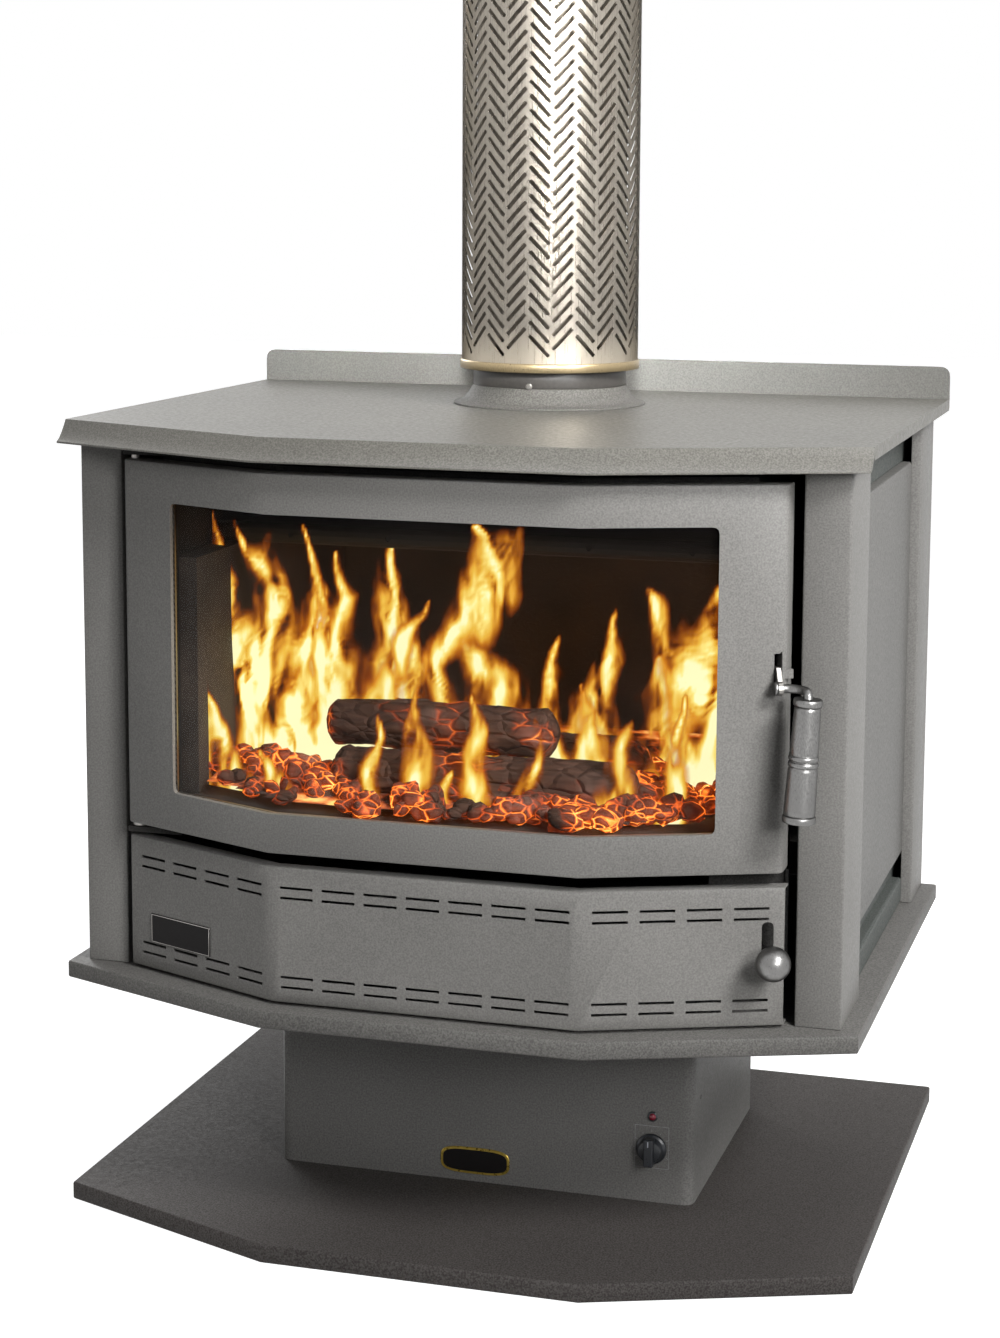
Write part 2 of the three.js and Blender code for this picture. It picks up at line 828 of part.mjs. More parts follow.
// Joins closed sections of equal count into one body, with its two ends closed.
function skin(sections, profile) {
  const count = sections[0].length;
  const last = (sections.length - 1) * count;
  const faces = [];
  for (let low = 0; low < last; low += count) {
    for (let index = 0; index < count; index += 1) {
      const next = (index + 1) % count;
      const high = low + count;
      faces.push(low + index, low + next, high + next, low + index, high + next, high + index);
    }
  }
  const outline = profile.map(([x, y]) => new THREE.Vector2(x, y));
  const turn = THREE.ShapeUtils.isClockWise(outline) ? 1 : -1;
  for (const corners of THREE.ShapeUtils.triangulateShape(outline, [])) {
    const [a, b, c] = turn > 0 ? corners : [corners[0], corners[2], corners[1]];
    faces.push(a, b, c, last + a, last + c, last + b);
  }
  const geometry = new THREE.BufferGeometry();
  geometry.setAttribute('position', new THREE.Float32BufferAttribute(sections.flat(2), 3));
  geometry.setIndex(faces);
  return faceOutward(geometry);
}

// A profile of depth and height pairs, followed along the bay from its left end to its right end
function alongBay(bay, profile, reach) {
  const stations = [0, 1, 2, 3].map((station) => profile.map(([depth, height]) => {
    const [x, y] = bayLine(bay, depth, reach)[station];
    return [x, y, height];
  }));
  return skin(stations, profile);
}

const fasciaShares = [[0, 0], [0.22, 0.3], [0.47, 0.6], [0.74, 0.86], [1, 1]];

function fasciaProfile(shift) {
  return fasciaShares.map(([reach, drop]) => [
    shift - reach * fasciaReach,
    lidTop - drop * fasciaDrop - shift,
  ]);
}

// The lid is folded from one sheet: its bay edge flares forward, and its sides fold straight down.
function makeLid() {
  const back = backY - splashWall - seat;
  const sheet = risen(shapeOf(bayOutline(lidBay, 0, halfWidth, back)), lidTop - lidWall, lidTop);
  const lip = [-fasciaReach, lidTop - fasciaDrop - lipDrop];
  const inner = fasciaProfile(lidWall * Math.SQRT1_2).slice(0, -1).reverse();
  const fascia = alongBay(lidBay, [[lidWall, lidTop], ...fasciaProfile(0), lip, ...inner], halfWidth);
  const sideFront = bayLine(lidBay, 0, halfWidth)[0][1];
  const sides = [-halfWidth, halfWidth - lidWall].map(
    (left) => box(left, left + lidWall, sideFront, back, lidTop - lidSideFold, lidTop),
  );
  const flueHole = rodAlong('z', flueRadius + 2 * seat, 0, lidTop + overrun, roundSides)
    .translate(0, flueY, 0);
  addPiece(stove, 'top_plate', cut(join(sheet, fascia, ...sides), flueHole), topPaint());
  const splash = upright(
    roundedShape(
      rectangle(-halfWidth, halfWidth, lidTop - splashOverlap, lidTop + splashHeight),
      [0, 0, splashRadius, splashRadius],
    ),
    backY - splashWall, backY,
  );
  addPiece(stove, 'splashback', splash, topPaint());
}

const coneReachShare = 0.3;
const coneRiseShare = 0.42;

function makeFlue() {
  const flue = new THREE.Group();
  flue.position.set(0, flueY, lidTop);
  stove.add(flue);
  const bore = flueRadius + seat;
  const kneeRadius = bore + coneReachShare * (coneRadius - bore);
  const knee = coneRiseShare * coneRise;
  const cone = turned([
    [bore, seat],
    [coneRadius, seat],
    [coneRadius, coneEdge],
    [kneeRadius, knee],
    [collarRadius, coneRise],
    [bore, coneRise],
  ]);
  addPiece(flue, 'flue_cone', cone, topPaint());
  addPiece(flue, 'flue_collar', ring(collarRadius, bore, coneRise + seat, collarTop), blackSteel());
  const pipe = ring(flueRadius, flueRadius - flueWall, fireboxTop + seat - lidTop, flueRise);
  addPiece(flue, 'flue_pipe', pipe, metal(0x9c978e, 0.35));
  makeCasing(flue);
}

// The casing is a ring of flat staves. Each stave has one column of slanted slots, in a herringbone.
function makeCasing(flue) {
  const casing = new THREE.Group();
  casing.position.z = casingBottom;
  casing.rotation.z = casingTurn;
  flue.add(casing);
  const stave = 2 * Math.PI / casingSides;
  const tubeOf = (outer, inner, height) => ring(outer, inner, 0, height, casingSides).rotateZ(Math.PI / 2);
  const tube = tubeOf(casingRadius, casingRadius - casingWall, casingLength);
  const slots = [];
  for (let column = 0; column < casingSides; column += 1) {
    const rising = column % 2 === 0;
    const lowest = slotMargin + (rising ? slotPitch / 2 : 0);
    for (let row = 0; row < slotRows - (rising ? 1 : 0); row += 1) {
      const slot = new THREE.BoxGeometry(2 * casingWall, slotLength, slotWidth);
      slot.rotateX(rising ? slotAngle : -slotAngle);
      slot.translate(casingRadius - casingWall, 0, lowest + row * slotPitch);
      slots.push(slot.rotateZ((column + 1 / 2) * stave));
    }
  }
  addPiece(casing, 'perforated_casing', cut(tube, mergeGeometries(slots)), stainless());
  const bandRadius = casingRadius + seat;
  addPiece(casing, 'casing_band', tubeOf(bandRadius + bandWall, bandRadius, bandHeight), stainless());
  makeSpacer(casing, 'casing_spacer_lower', collarTop + seat - casingBottom, stave);
  makeSpacer(casing, 'casing_spacer_upper', casingLength - spacerArm - spacerHeight, stave);
}

// Spacers keep the casing concentric with the flue and leave the air gap between them open.
function makeSpacer(casing, name, height, stave) {
  const bore = (flueRadius + seat) / Math.cos(stave / 2);
  const inside = (casingRadius - casingWall) * Math.cos(stave / 2) - seat;
  const hoop = ring(bore + spacerInset, bore, height, height + spacerHeight, casingSides);
  const arms = [];
  for (let arm = 0; arm < spacerArms; arm += 1) {
    const bar = box(bore + seat, inside, -spacerArm / 2, spacerArm / 2, height, height + spacerHeight);
    arms.push(bar.rotateZ(2 * Math.PI * arm / spacerArms + stave / 2));
  }
  addPiece(casing, name, join(hoop, ...arms), steel());
}

// Builds a right hand piece and its mirror image.
function addPair(name, build, material) {
  addPiece(stove, `${name}_right`, build(), material());
  const left = bareOf(build().scale(-1, 1, 1));
  addPiece(stove, `${name}_left`, faceOutward(left), material());
}

function makePosts() {
  const frontPost = fold([
    [postInner, postFront + postInnerReturn],
    [postInner, postFront],
    [postOuter, postFront],
    [postOuter, postFront + postReturn],
  ], sheetWall, bendRadius);
  addPair('front_post', () => risen(frontPost, bodyFloor, lidUnder), charcoal);
  const rearPost = fold([
    [rearPostInner, rearPostFront],
    [rearPostOuter, rearPostFront],
    [rearPostOuter, rearPostBack],
    [rearPostOuter - rearPostLip, rearPostBack],
  ], sheetWall, bendRadius);
  addPair('rear_post', () => risen(rearPost, bodyFloor, lidUnder), charcoal);
}

// Each side is a shallow panel that stands off an inner shield, with an air slot above and below it.
function makeSides() {
  const near = postFront + postReturn + seat;
  const far = rearPostFront - seat;
  const cup = (root, bottom, top) => upright(fold([
    [root, bottom], [sidePanelFace, bottom], [sidePanelFace, top], [root, top],
  ], sheetWall, bendRadius), near, far);
  const railTop = trayTop + sideRailHeight;
  const panel = () => cup(sidePanelFace - sidePanelFlange, railTop + sideSlotHeight, lidTop - sideTopGap);
  addPair('side_panel', panel, charcoal);
  const shieldNear = near - postReturn / 2;
  const shieldFar = rearPanelBack - sheetWall - seat;
  const shield = () => join(
    box(shieldFace - sheetWall, shieldFace, shieldNear, shieldFar, bodyFloor, lidUnder),
    cup(shieldFace - sheetWall / 2, bodyFloor, railTop),
  );
  addPair('side_shield', shield, blackSteel);
}

function makeRearPanel() {
  const reach = rearPostOuter - sheetWall - bendRadius;
  const panel = box(-reach, reach, rearPanelBack - sheetWall, rearPanelBack, bodyFloor, lidUnder);
  const vents = [];
  for (const middle of [bodyFloor + ventMargin, lidUnder - ventMargin]) {
    for (let index = 0; index < ventCount; index += 1) {
      const centre = (index - (ventCount - 1) / 2) * ventPitch;
      vents.push(box(
        centre - ventLength / 2, centre + ventLength / 2,
        rearPanelBack - overrun, rearPanelBack + overrun,
        middle - ventHeight / 2, middle + ventHeight / 2,
      ));
    }
  }
  addPiece(stove, 'rear_panel', cut(panel, mergeGeometries(vents)), charcoal());
}

const windowTop = windowBottom + windowHeight;
const mouthReach = windowHalfWidth + mouthMargin;

function makeFirebox() {
  const inner = fireboxHalfWidth - fireboxWall;
  const outline = bayOutline(doorBay, landingDepth, fireboxHalfWidth, fireboxBack);
  const hollowOutline = bayOutline(doorBay, landingDepth + fireboxWall, inner, fireboxBack - fireboxWall);
  const mouth = roundedShape(
    rectangle(-mouthReach, mouthReach, windowBottom - mouthMargin, windowTop + mouthMargin), windowRadius,
  );
  const spigotTop = fireboxTop + spigotHeight;
  const shell = cut(
    join(
      risen(shapeOf(outline), fireboxBottom, fireboxTop),
      rodAlong('z', spigotRadius, fireboxTop - fireboxWall, spigotTop, roundSides).translate(0, flueY, 0),
    ),
    risen(shapeOf(hollowOutline), fireboxBottom + fireboxWall, fireboxTop - fireboxWall),
    upright(mouth, bayFront, legFront),
    rodAlong('z', spigotRadius - spigotWall, fireboxTop - overrun, spigotTop + overrun, roundSides)
      .translate(0, flueY, 0),
  );
  addPiece(stove, 'firebox_shell', shell, blackSteel());
  const legFace = fireboxHalfWidth - legSetIn;
  const leg = fold([
    [legFace - legFlange, bodyFloor], [legFace, bodyFloor],
    [legFace, fireboxBottom - seat], [legFace - legFlange, fireboxBottom - seat],
  ], plateWall, bendRadius);
  addPair('firebox_leg', () => upright(leg, legFront, fireboxBack), blackSteel);
}

// The bricks line the floor, both sides and the back, and carry the baffle.
function makeLining() {
  const inside = fireboxHalfWidth - fireboxWall;
  const reach = inside - brickFit;
  const floor = fireboxBottom + fireboxWall + seat;
  const hearth = floor + brickThickness;
  const back = fireboxBack - fireboxWall - brickFit;
  const frontDepth = landingDepth + fireboxWall + brickFit;
  const hearthShape = shapeOf(bayOutline(doorBay, frontDepth, reach, back));
  addPiece(stove, 'hearth_brick', risen(hearthShape, floor, hearth), brick());
  const top = fireboxTop - fireboxWall - smokeGap - baffleThickness - seat;
  const sideFront = bayLine(doorBay, frontDepth, inside)[3][1];
  addPair('side_brick', () => box(reach - brickThickness, reach, sideFront, back, hearth + seat, top), brick);
  const rearReach = reach - brickThickness - brickFit;
  const rear = box(-rearReach, rearReach, back - brickThickness, back, hearth + seat, top);
  addPiece(stove, 'rear_brick', rear, brick());
  const baffle = box(-reach, reach, baffleFront, back, top + seat, top + seat + baffleThickness);
  addPiece(stove, 'baffle_plate', baffle, brick());
  makeAirTube(reach, top);
}

// Air for the flames comes out of a row of holes along the front of the tube.
function makeAirTube(reach, bottom) {
  const tubeLine = new THREE.Group();
  tubeLine.position.set(0, baffleFront - seat - airTubeRadius, bottom + seat + airTubeRadius);
  stove.add(tubeLine);
  const holes = [];
  for (let index = 0; index < airHoleCount; index += 1) {
    const x = (index - (airHoleCount - 1) / 2) * airHolePitch;
    holes.push(rodAlong('y', airHoleRadius, -overrun, 0, 6).translate(x, 0, 0));
  }
  const tube = cut(
    rodAlong('x', airTubeRadius, -reach, reach, 12),
    rodAlong('x', airTubeRadius - airTubeWall, -halfWidth, halfWidth, 12),
    mergeGeometries(holes),
  );
  addPiece(tubeLine, 'secondary_air_tube', tube, blackSteel());
}

// A log rests in the valley between two others that lie along X.
function nestled(low, high, radius) {
  const across = new THREE.Vector2(high.y - low.y, high.radius - low.radius);
  const span = across.length();
  const reachLow = low.radius + radius + seat;
  const reachHigh = high.radius + radius + seat;
  const along = (reachLow ** 2 - reachHigh ** 2 + span ** 2) / (2 * span);
  const rise = Math.sqrt(reachLow ** 2 - along ** 2);
  const unit = across.normalize();
  return {
    y: low.y + along * unit.x - rise * unit.y,
    z: low.radius + along * unit.y + rise * unit.x,
  };
}

function makeFirewood() {
  const hearth = fireboxBottom + fireboxWall + brickThickness + 2 * seat;
  const rearLogY = logFrontY + logSpacing;
  const front = { radius: frontLogRadius, length: frontLogLength, x: logShift, y: logFrontY };
  const rear = { radius: rearLogRadius, length: rearLogLength, x: 0, y: rearLogY };
  const valley = nestled(front, rear, topLogRadius);
  const top = { radius: topLogRadius, length: topLogLength, x: -logShift, ...valley };
  const logs = { front: { ...front, z: front.radius }, rear: { ...rear, z: rear.radius }, top };
  for (const [name, log] of Object.entries(logs)) {
    const geometry = rodAlong('x', log.radius, -log.length / 2, log.length / 2, logSides);
    const mesh = addPiece(stove, `firewood_${name}`, geometry, dull(0x2a201a, 0.95));
    mesh.position.set(log.x, log.y, hearth + log.z);
  }
}

// The door turns about the hinge line at its left edge.
const hingeX = hingeSetIn - doorHalfWidth;
const hingeY = bayLine(doorBay, 0, doorHalfWidth)[0][1] + hingeSetBack;
const doorTop = doorBottom + doorHeight;

// Latch pieces are drawn about the pivot, with X along the right facet and -Y out of it.
const latchPivot = new THREE.Vector3(
  latchX - latchPivotDepth * Math.sin(bayAngle),
  bayLine(doorBay, 0, latchX)[3][1] + latchPivotDepth * Math.cos(bayAngle),
  latchZ,
);
const latchFace = -latchPivotDepth;
const doorInside = doorThickness - latchPivotDepth;
const rodLine = latchFace - latchRodReach;

function onFacet(geometry, place) {
  return geometry.rotateZ(bayAngle).translate(place.x, place.y, place.z);
}

function latchSlot() {
  const half = latchSlotWidth / 2;
  const slot = box(-half, half, latchFace - overrun, doorInside + overrun, -latchSlotBelow, latchSlotAbove);
  return onFacet(slot, latchPivot);
}

// The slot has a raised cheek with a small stop lug that reaches past the edge of the door.
function latchGuide() {
  const left = latchSlotWidth / 2 - seat;
  const right = latchSlotWidth / 2 + guideWidth;
  const inside = latchFace + doorCorner;
  const top = latchSlotAbove + guideDrop;
  const cheek = box(left, right, latchFace - guideReach, inside, -guideDrop, top);
  const lug = box(right - guideWidth / 2, lugReach, latchFace - seat, inside, -lugDrop, lugHeight - lugDrop);
  return onFacet(join(cheek, lug), latchPivot);
}

// A bay layer that laps over the window by the given amount; with a width it is a frame, else a pane.
function windowLayer(depth, wall, lap, width) {
  const reach = windowHalfWidth + lap;
  const bottom = windowBottom - lap;
  const top = windowTop + lap;
  const layer = risen(shapeOf(bayBand(doorBay, depth, depth + wall, reach)), bottom, top);
  if (width === 0) {
    return layer;
  }
  const opening = rectangle(width - reach, reach - width, bottom + width, top - width);
  return cut(layer, upright(shapeOf(opening), frontY, 0));
}

function doorPlate() {
  const footprint = roundedShape(
    bayBand(doorBay, 0, doorThickness, doorHalfWidth),
    [doorCorner, 0, 0, doorCorner, 0, 0, 0, 0],
  );
  const pocketReach = windowHalfWidth + glassLap + glassFit;
  const pocketRise = glassLap + glassFit;
  const pocket = common(
    risen(shapeOf(bayBand(doorBay, glassSetBack, doorThickness + overrun, pocketReach)), 0, lidTop),
    box(-pocketReach, pocketReach, frontY, 0, windowBottom - pocketRise, windowTop + pocketRise),
  );
  const window = roundedShape(
    rectangle(-windowHalfWidth, windowHalfWidth, windowBottom, windowTop), windowRadius,
  );
  const bore = (from, to) => rodAlong('z', hingePinRadius + seat, from, to, 16).translate(hingeX, hingeY, 0);
  const plate = cut(
    softPlate(footprint, doorBottom, doorTop, edgeRadius),
    upright(window, frontY, 0, 3),
    pocket,
    bore(doorBottom - overrun, doorBottom + hingePinEngage + seat),
    bore(doorTop - hingePinEngage - seat, doorTop + overrun),
  );
  return cut(join(plate, latchGuide()), latchSlot());
}

function makeDoor() {
  const door = new THREE.Group();
  door.position.set(hingeX, hingeY, 0);
  stove.add(door);
  const onHinge = (geometry) => geometry.translate(-hingeX, -hingeY, 0);
  addPiece(door, 'door_frame', onHinge(doorPlate()), charcoal());
  const glassDepth = glassSetBack + seat;
  addPiece(door, 'door_glass', onHinge(windowLayer(glassDepth, glassWall, glassLap, 0)), glazing());
  const gasketDepth = glassDepth + glassWall + seat;
  const gasket = windowLayer(gasketDepth, gasketWall, glassLap, gasketWidth);
  addPiece(door, 'glass_gasket', onHinge(gasket), rope());
  const retainer = windowLayer(gasketDepth + gasketWall + seat, retainerWall, glassLap, gasketWidth);
  addPiece(door, 'glass_retainer', onHinge(retainer), steel());
  const seal = windowLayer(doorThickness + seat, sealDepth, sealLap, sealWidth);
  addPiece(door, 'door_rope_seal', onHinge(seal), rope());
  makeLatch(door);
}

function makeLatch(door) {
  const latch = new THREE.Group();
  latch.position.copy(latchPivot).sub(door.position);
  latch.rotation.z = bayAngle;
  door.add(latch);
  const earInside = latchPlate / 2 + seat;
  const earOutside = earInside + latchEarWall;
  const earNear = doorInside + seat;
  const bracket = join(
    box(earInside, earOutside, earNear, latchEar, -latchEar - latchEarWall, latchEar),
    box(-earOutside, -earInside, earNear, latchEar, -latchEar - latchEarWall, latchEar),
    box(-earOutside, earOutside, earNear, earNear + latchEarWall, -latchEar - latchEarWall, -latchEar),
    rodAlong('x', latchPivotRadius, -earOutside - latchEarWall / 2, earOutside + latchEarWall / 2, 16),
  );
  addPiece(latch, 'latch_bracket', bracket, steel());
  makeLatchHook(latch);
  makeLatchRod(latch);
  makeGrip(latch);
}

// The hook carries the rod at its front, passes through the door, and its tip stands behind the catch.
function makeLatchHook(latch) {
  const half = latchArm / 2;
  const tipNear = catchFar + seat;
  const tipFar = tipNear + latchTip;
  const arm = shapeOf([
    [rodLine, -latchRodDrop - half], [-latchBoss, -half],
    [tipFar, -half], [tipFar, catchBottom + latchTip],
    [tipNear, catchBottom + latchTip], [tipNear, half],
    [latchBoss, half], [latchFace + half, latchHump],
    [latchFace - half, latchHump], [rodLine - half, -latchRodDrop],
  ]);
  const alongArm = (geometry) => geometry.rotateX(Math.PI / 2).rotateZ(Math.PI / 2);
  const round = (radius, reach) => rodAlong('x', radius, -reach, reach, 12);
  const eye = round(latchEye, latchPlate / 2).translate(0, rodLine, -latchRodDrop);
  const hook = cut(
    join(alongArm(risen(arm, -latchPlate / 2, latchPlate / 2)), round(latchBoss, latchPlate / 2), eye),
    round(latchPivotRadius + seat, overrun),
    round(latchRodRadius + seat, overrun).translate(0, rodLine, -latchRodDrop),
  );
  addPiece(latch, 'latch_hook', hook, steel());
}

// The rod leaves the hook sideways, sweeps outward and turns down into the grip.
const rodSweepShares = [[0.12, 0, 0], [0.42, 0.03, 0], [0.75, 0.24, 0], [0.94, 0.55, 0], [1, 0.82, 0.12]];

function makeLatchRod(latch) {
  const start = -latchPlate / 2 - seat;
  const line = new THREE.Vector3(0, rodLine, -latchRodDrop);
  const sweep = rodSweepShares.map(([right, out, down]) => new THREE.Vector3(
    right * gripShift, rodLine - out * gripOut, -latchRodDrop - down * gripSocket,
  ));
  const path = new THREE.CatmullRomCurve3([
    line.clone().setX(start),
    ...sweep,
    inGrip(gripCounterbore / 4),
    inGrip(gripSocket),
    inGrip(2 * gripSocket - seat),
  ]);
  const section = new THREE.Shape().absarc(0, 0, latchRodRadius, 0, 2 * Math.PI);
  const rod = new THREE.ExtrudeGeometry(section, { extrudePath: path, steps: 16, curveSegments: 4 });
  const cap = rodAlong('x', latchCapRadius, start - latchCapLength, start + seat);
  addPiece(latch, 'latch_rod', join(rod, cap.translate(0, line.y, line.z)), pewter());
}

// A point on the axis of the grip, the given distance below its top
function inGrip(distance) {
  return new THREE.Vector3(
    gripShift - distance * Math.sin(gripLean),
    rodLine - gripOut,
    -latchRodDrop - gripDrop - distance * Math.cos(gripLean),
  );
}

const beadShares = [[0.435, 0], [0.45, -1], [0.475, 0.5], [0.5, -1], [0.525, 0.5], [0.55, -1], [0.565, 0]];

// The turned grip: a ring, a tapered barrel with a double bead, and an end flange
function makeGrip(latch) {
  const radiusAt = (share) => gripTopRadius + (gripEndRadius - gripTopRadius) * share;
  const barrel = (share, extra) => [radiusAt(share) + extra, -share * gripLength];
  const bore = latchRodRadius + seat;
  const outline = [
    [0, -2 * gripSocket], [bore, -2 * gripSocket], [bore, -gripSocket],
    [gripCounterbore, -gripSocket], [gripCounterbore, 0],
    [gripTopRadius - gripGroove, 0], [gripRingRadius, -gripRing / 4], [gripRingRadius, -gripRing * 3 / 4],
    [gripTopRadius - gripGroove, -gripRing], barrel(gripRing / gripLength + gripGroove / gripLength, 0),
    ...beadShares.map(([share, out]) => barrel(share, out * gripGroove)),
    barrel(1 - gripRing / gripLength, 0),
    [gripFlangeRadius, -gripLength + gripRing * 3 / 4], [gripFlangeRadius, -gripLength + gripRing / 4],
    [gripEndRadius, -gripLength], [0, -gripLength],
  ];
  const grip = addPiece(latch, 'handle_grip', faceOutward(bareOf(turned(outline, 12))), pewter());
  grip.position.copy(inGrip(0));
  grip.rotation.y = gripLean;
}

function makeLatchCatch() {
  const wallX = fireboxHalfWidth + seat;
  const near = catchFar - catchNose;
  const nose = onFacet(box(-catchNose / 2, catchNose / 2, near, catchFar, catchBottom, catchTop), latchPivot);
  const arm = onFacet(
    box(-latchPivotDepth, catchNose / 2, near, catchFar, catchArmBottom, catchTop), latchPivot,
  );
  const base = box(
    wallX, wallX + plateWall, latchPivot.y - catchNose / 2, latchPivot.y + catchBase,
    latchZ + catchArmBottom, latchZ + catchTop,
  );
  const firebox = box(0, wallX, frontY, backY, 0, lidTop);
  addPiece(stove, 'latch_catch', cut(join(nose, arm, base), firebox), steel());
}

function makeHinges() {
  const hinge = new THREE.Group();
  hinge.position.set(hingeX, hingeY, 0);
  stove.add(hinge);
  const plate = (bottom) => cut(
    box(-hingePlateEdge, hingePlateReach, -hingePlateEdge, legFront - hingeY, bottom, bottom + hingePlate),
    rodAlong('z', hingePinRadius + seat, bottom - overrun, bottom + overrun, 16),
  );
  const lowPlate = fireboxBottom - seat - hingePlate;
  const highPlate = fireboxTop + seat;
  addPiece(hinge, 'hinge_bracket_lower', plate(lowPlate), blackSteel());
  addPiece(hinge, 'hinge_bracket_upper', plate(highPlate), blackSteel());
  const washerBottom = lowPlate + hingePlate + seat;
  const lowPin = join(
    rodAlong('z', hingePinRadius, lowPlate, doorBottom + hingePinEngage, 12),
    rodAlong('z', hingeHeadRadius, washerBottom, doorBottom - seat, 12),
  );
  addPiece(hinge, 'hinge_pin_lower', lowPin, steel());
  const headBottom = highPlate + hingePlate + seat;
  const highPin = join(
    rodAlong('z', hingePinRadius, doorTop - hingePinEngage, headBottom + hingePlate, 12),
    rodAlong('z', hingeHeadRadius, headBottom, headBottom + hingePlate, 12),
  );
  addPiece(hinge, 'hinge_pin_upper', highPin, steel());
}

const panelTop = panelBottom + panelHeight;

function louvreRows() {
  const high = panelTop - louvreTopMargin;
  const low = panelBottom + louvreBottomMargin;
  return [low, low + louvreRowPitch, high - louvreRowPitch, high];
}

// Louvres are cut square to each facet; the side facets are reached by a turn about their corner.
function louvreTools() {
  const tools = [];
  const slot = (centre, height) => box(
    centre - louvreLength / 2, centre + louvreLength / 2, -overrun, overrun,
    height - louvreHeight / 2, height + louvreHeight / 2,
  );
  const [, left, right] = bayLine(doorBay, panelSetBack, panelHalfWidth);
  for (const height of louvreRows()) {
    for (let column = 0; column < louvreCentreCount; column += 1) {
      const centre = (column - (louvreCentreCount - 1) / 2) * louvrePitch;
      tools.push(slot(centre, height).translate(0, right[1], 0));
    }
    for (let column = 0; column < louvreSideCount; column += 1) {
      const centre = louvreSideStart + louvreLength / 2 + column * louvreSidePitch;
      tools.push(slot(centre, height).rotateZ(bayAngle).translate(...right, 0));
      tools.push(slot(-centre, height).rotateZ(-bayAngle).translate(...left, 0));
    }
  }
  return mergeGeometries(tools);
}

const airControlPlace = new THREE.Vector3(
  airControlX, bayLine(doorBay, panelSetBack, airControlX)[3][1], airControlZ,
);

function makeLowerPanel() {
  const back = panelSetBack + panelLip;
  const profile = fold([
    [back, panelTop], [panelSetBack, panelTop], [panelSetBack, panelBottom], [back, panelBottom],
  ], sheetWall, bendRadius).getPoints().map(({ x, y }) => [x, y]);
  const sheet = alongBay(doorBay, profile, panelHalfWidth);
  const footStrip = alongBay(doorBay, [
    [back - sheetWall, bodyFloor], [back, bodyFloor],
    [back, panelBottom + sheetWall], [back - sheetWall, panelBottom + sheetWall],
  ], panelHalfWidth);
  const feet = [-footX - footLength, footX].map(
    (left) => common(footStrip, box(left, left + footLength, frontY, 0, 0, panelTop)),
  );
  const airSlot = upright(
    roundedShape(
      rectangle(-airSlotWidth / 2, airSlotWidth / 2, airSlotBottom - airControlZ, airSlotTop - airControlZ),
      airSlotWidth / 2 - seat,
    ),
    -overrun, overrun,
  );
  const panel = cut(join(sheet, ...feet), louvreTools(), onFacet(airSlot, airControlPlace));
  addPiece(stove, 'lower_panel', panel, charcoal());
}

// The air slide rises with its rod and knob, and uncovers the port in the guide.
function makeAirControl() {
  const control = new THREE.Group();
  control.position.copy(airControlPlace);
  control.rotation.z = bayAngle;
  stove.add(control);
  const slideFar = airSlideDepth + airSlideWall;
  const rodStart = -airKnobReach - seat;
  const ball = new THREE.SphereGeometry(airKnobRadius, 14, 9).translate(0, -airKnobReach, 0);
  const bore = rodAlong('y', airRodRadius + seat, rodStart - seat, overrun, 16);
  addPiece(control, 'air_control_knob', cut(ball, bore), pewter());
  const left = airSlideRight - airSlideWidth;
  const right = airSlideRight;
  const slide = join(
    box(left, right, airSlideDepth, slideFar, -airSlideHeight / 2, airSlideHeight / 2),
    rodAlong('y', airRodRadius, rodStart, airSlideDepth + seat, 16),
  );
  addPiece(control, 'air_slide', slide, blackSteel());
  const guideNear = slideFar + seat;
  const guideFar = guideNear + airGuideWall;
  const top = fireboxBottom - seat - airControlZ;
  const bottom = -airSlideHeight / 2;
  const edge = airGuideWall + seat;
  const portTop = bottom + airTravel - seat;
  const guide = cut(
    join(
      box(left - edge, right + edge, guideNear, guideFar, bottom, top),
      box(left - edge, left - seat, airSlideDepth, guideFar, bottom, top),
      box(right + seat, right + edge, airSlideDepth, guideFar, bottom, top),
      box(left - edge, right + edge, guideNear, guideFar + airGuideFlange, top - airGuideWall, top),
    ),
    box(left + airPortMargin, right - airPortMargin, 0, guideFar + overrun, bottom + edge, portTop),
  );
  addPiece(control, 'air_guide', guide, blackSteel());
}

makeBasePlate();
makeHearthTray();
makePedestal();
makeSpeedControl();
makeFan();
makePosts();
makeSides();
makeRearPanel();
makeFirebox();
makeLining();
makeFirewood();
makeHinges();
makeDoor();
makeLatchCatch();
makeLowerPanel();
makeAirControl();
makeLid();
makeFlue();

export default stove;
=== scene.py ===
import math
import random

import bmesh
import bpy
from mathutils import Matrix, Vector, noise


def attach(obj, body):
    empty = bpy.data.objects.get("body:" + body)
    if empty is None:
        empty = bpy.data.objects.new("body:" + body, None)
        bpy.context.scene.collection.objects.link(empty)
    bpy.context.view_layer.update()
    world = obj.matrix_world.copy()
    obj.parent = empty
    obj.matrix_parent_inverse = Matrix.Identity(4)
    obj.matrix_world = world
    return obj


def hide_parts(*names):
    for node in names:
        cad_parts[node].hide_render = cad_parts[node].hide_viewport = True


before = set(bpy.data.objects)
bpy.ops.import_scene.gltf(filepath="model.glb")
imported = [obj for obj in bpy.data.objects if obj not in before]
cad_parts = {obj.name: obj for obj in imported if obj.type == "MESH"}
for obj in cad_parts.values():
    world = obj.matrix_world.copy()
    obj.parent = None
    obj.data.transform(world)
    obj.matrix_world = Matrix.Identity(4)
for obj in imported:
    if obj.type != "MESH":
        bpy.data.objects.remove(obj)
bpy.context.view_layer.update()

# Camera, with the photograph's size in pixels
PHOTO_WIDTH = 1000
PHOTO_HEIGHT = 1338
CAMERA_PLACE = Vector((0.7265, -2.4630, 1.0021))
CAMERA_YAW = math.radians(16.06)
CAMERA_PITCH = math.radians(7.83)
CAMERA_ROLL = math.radians(0.35)
FOCAL_PIXELS = 2630.2
OPTIC_X = 530.9
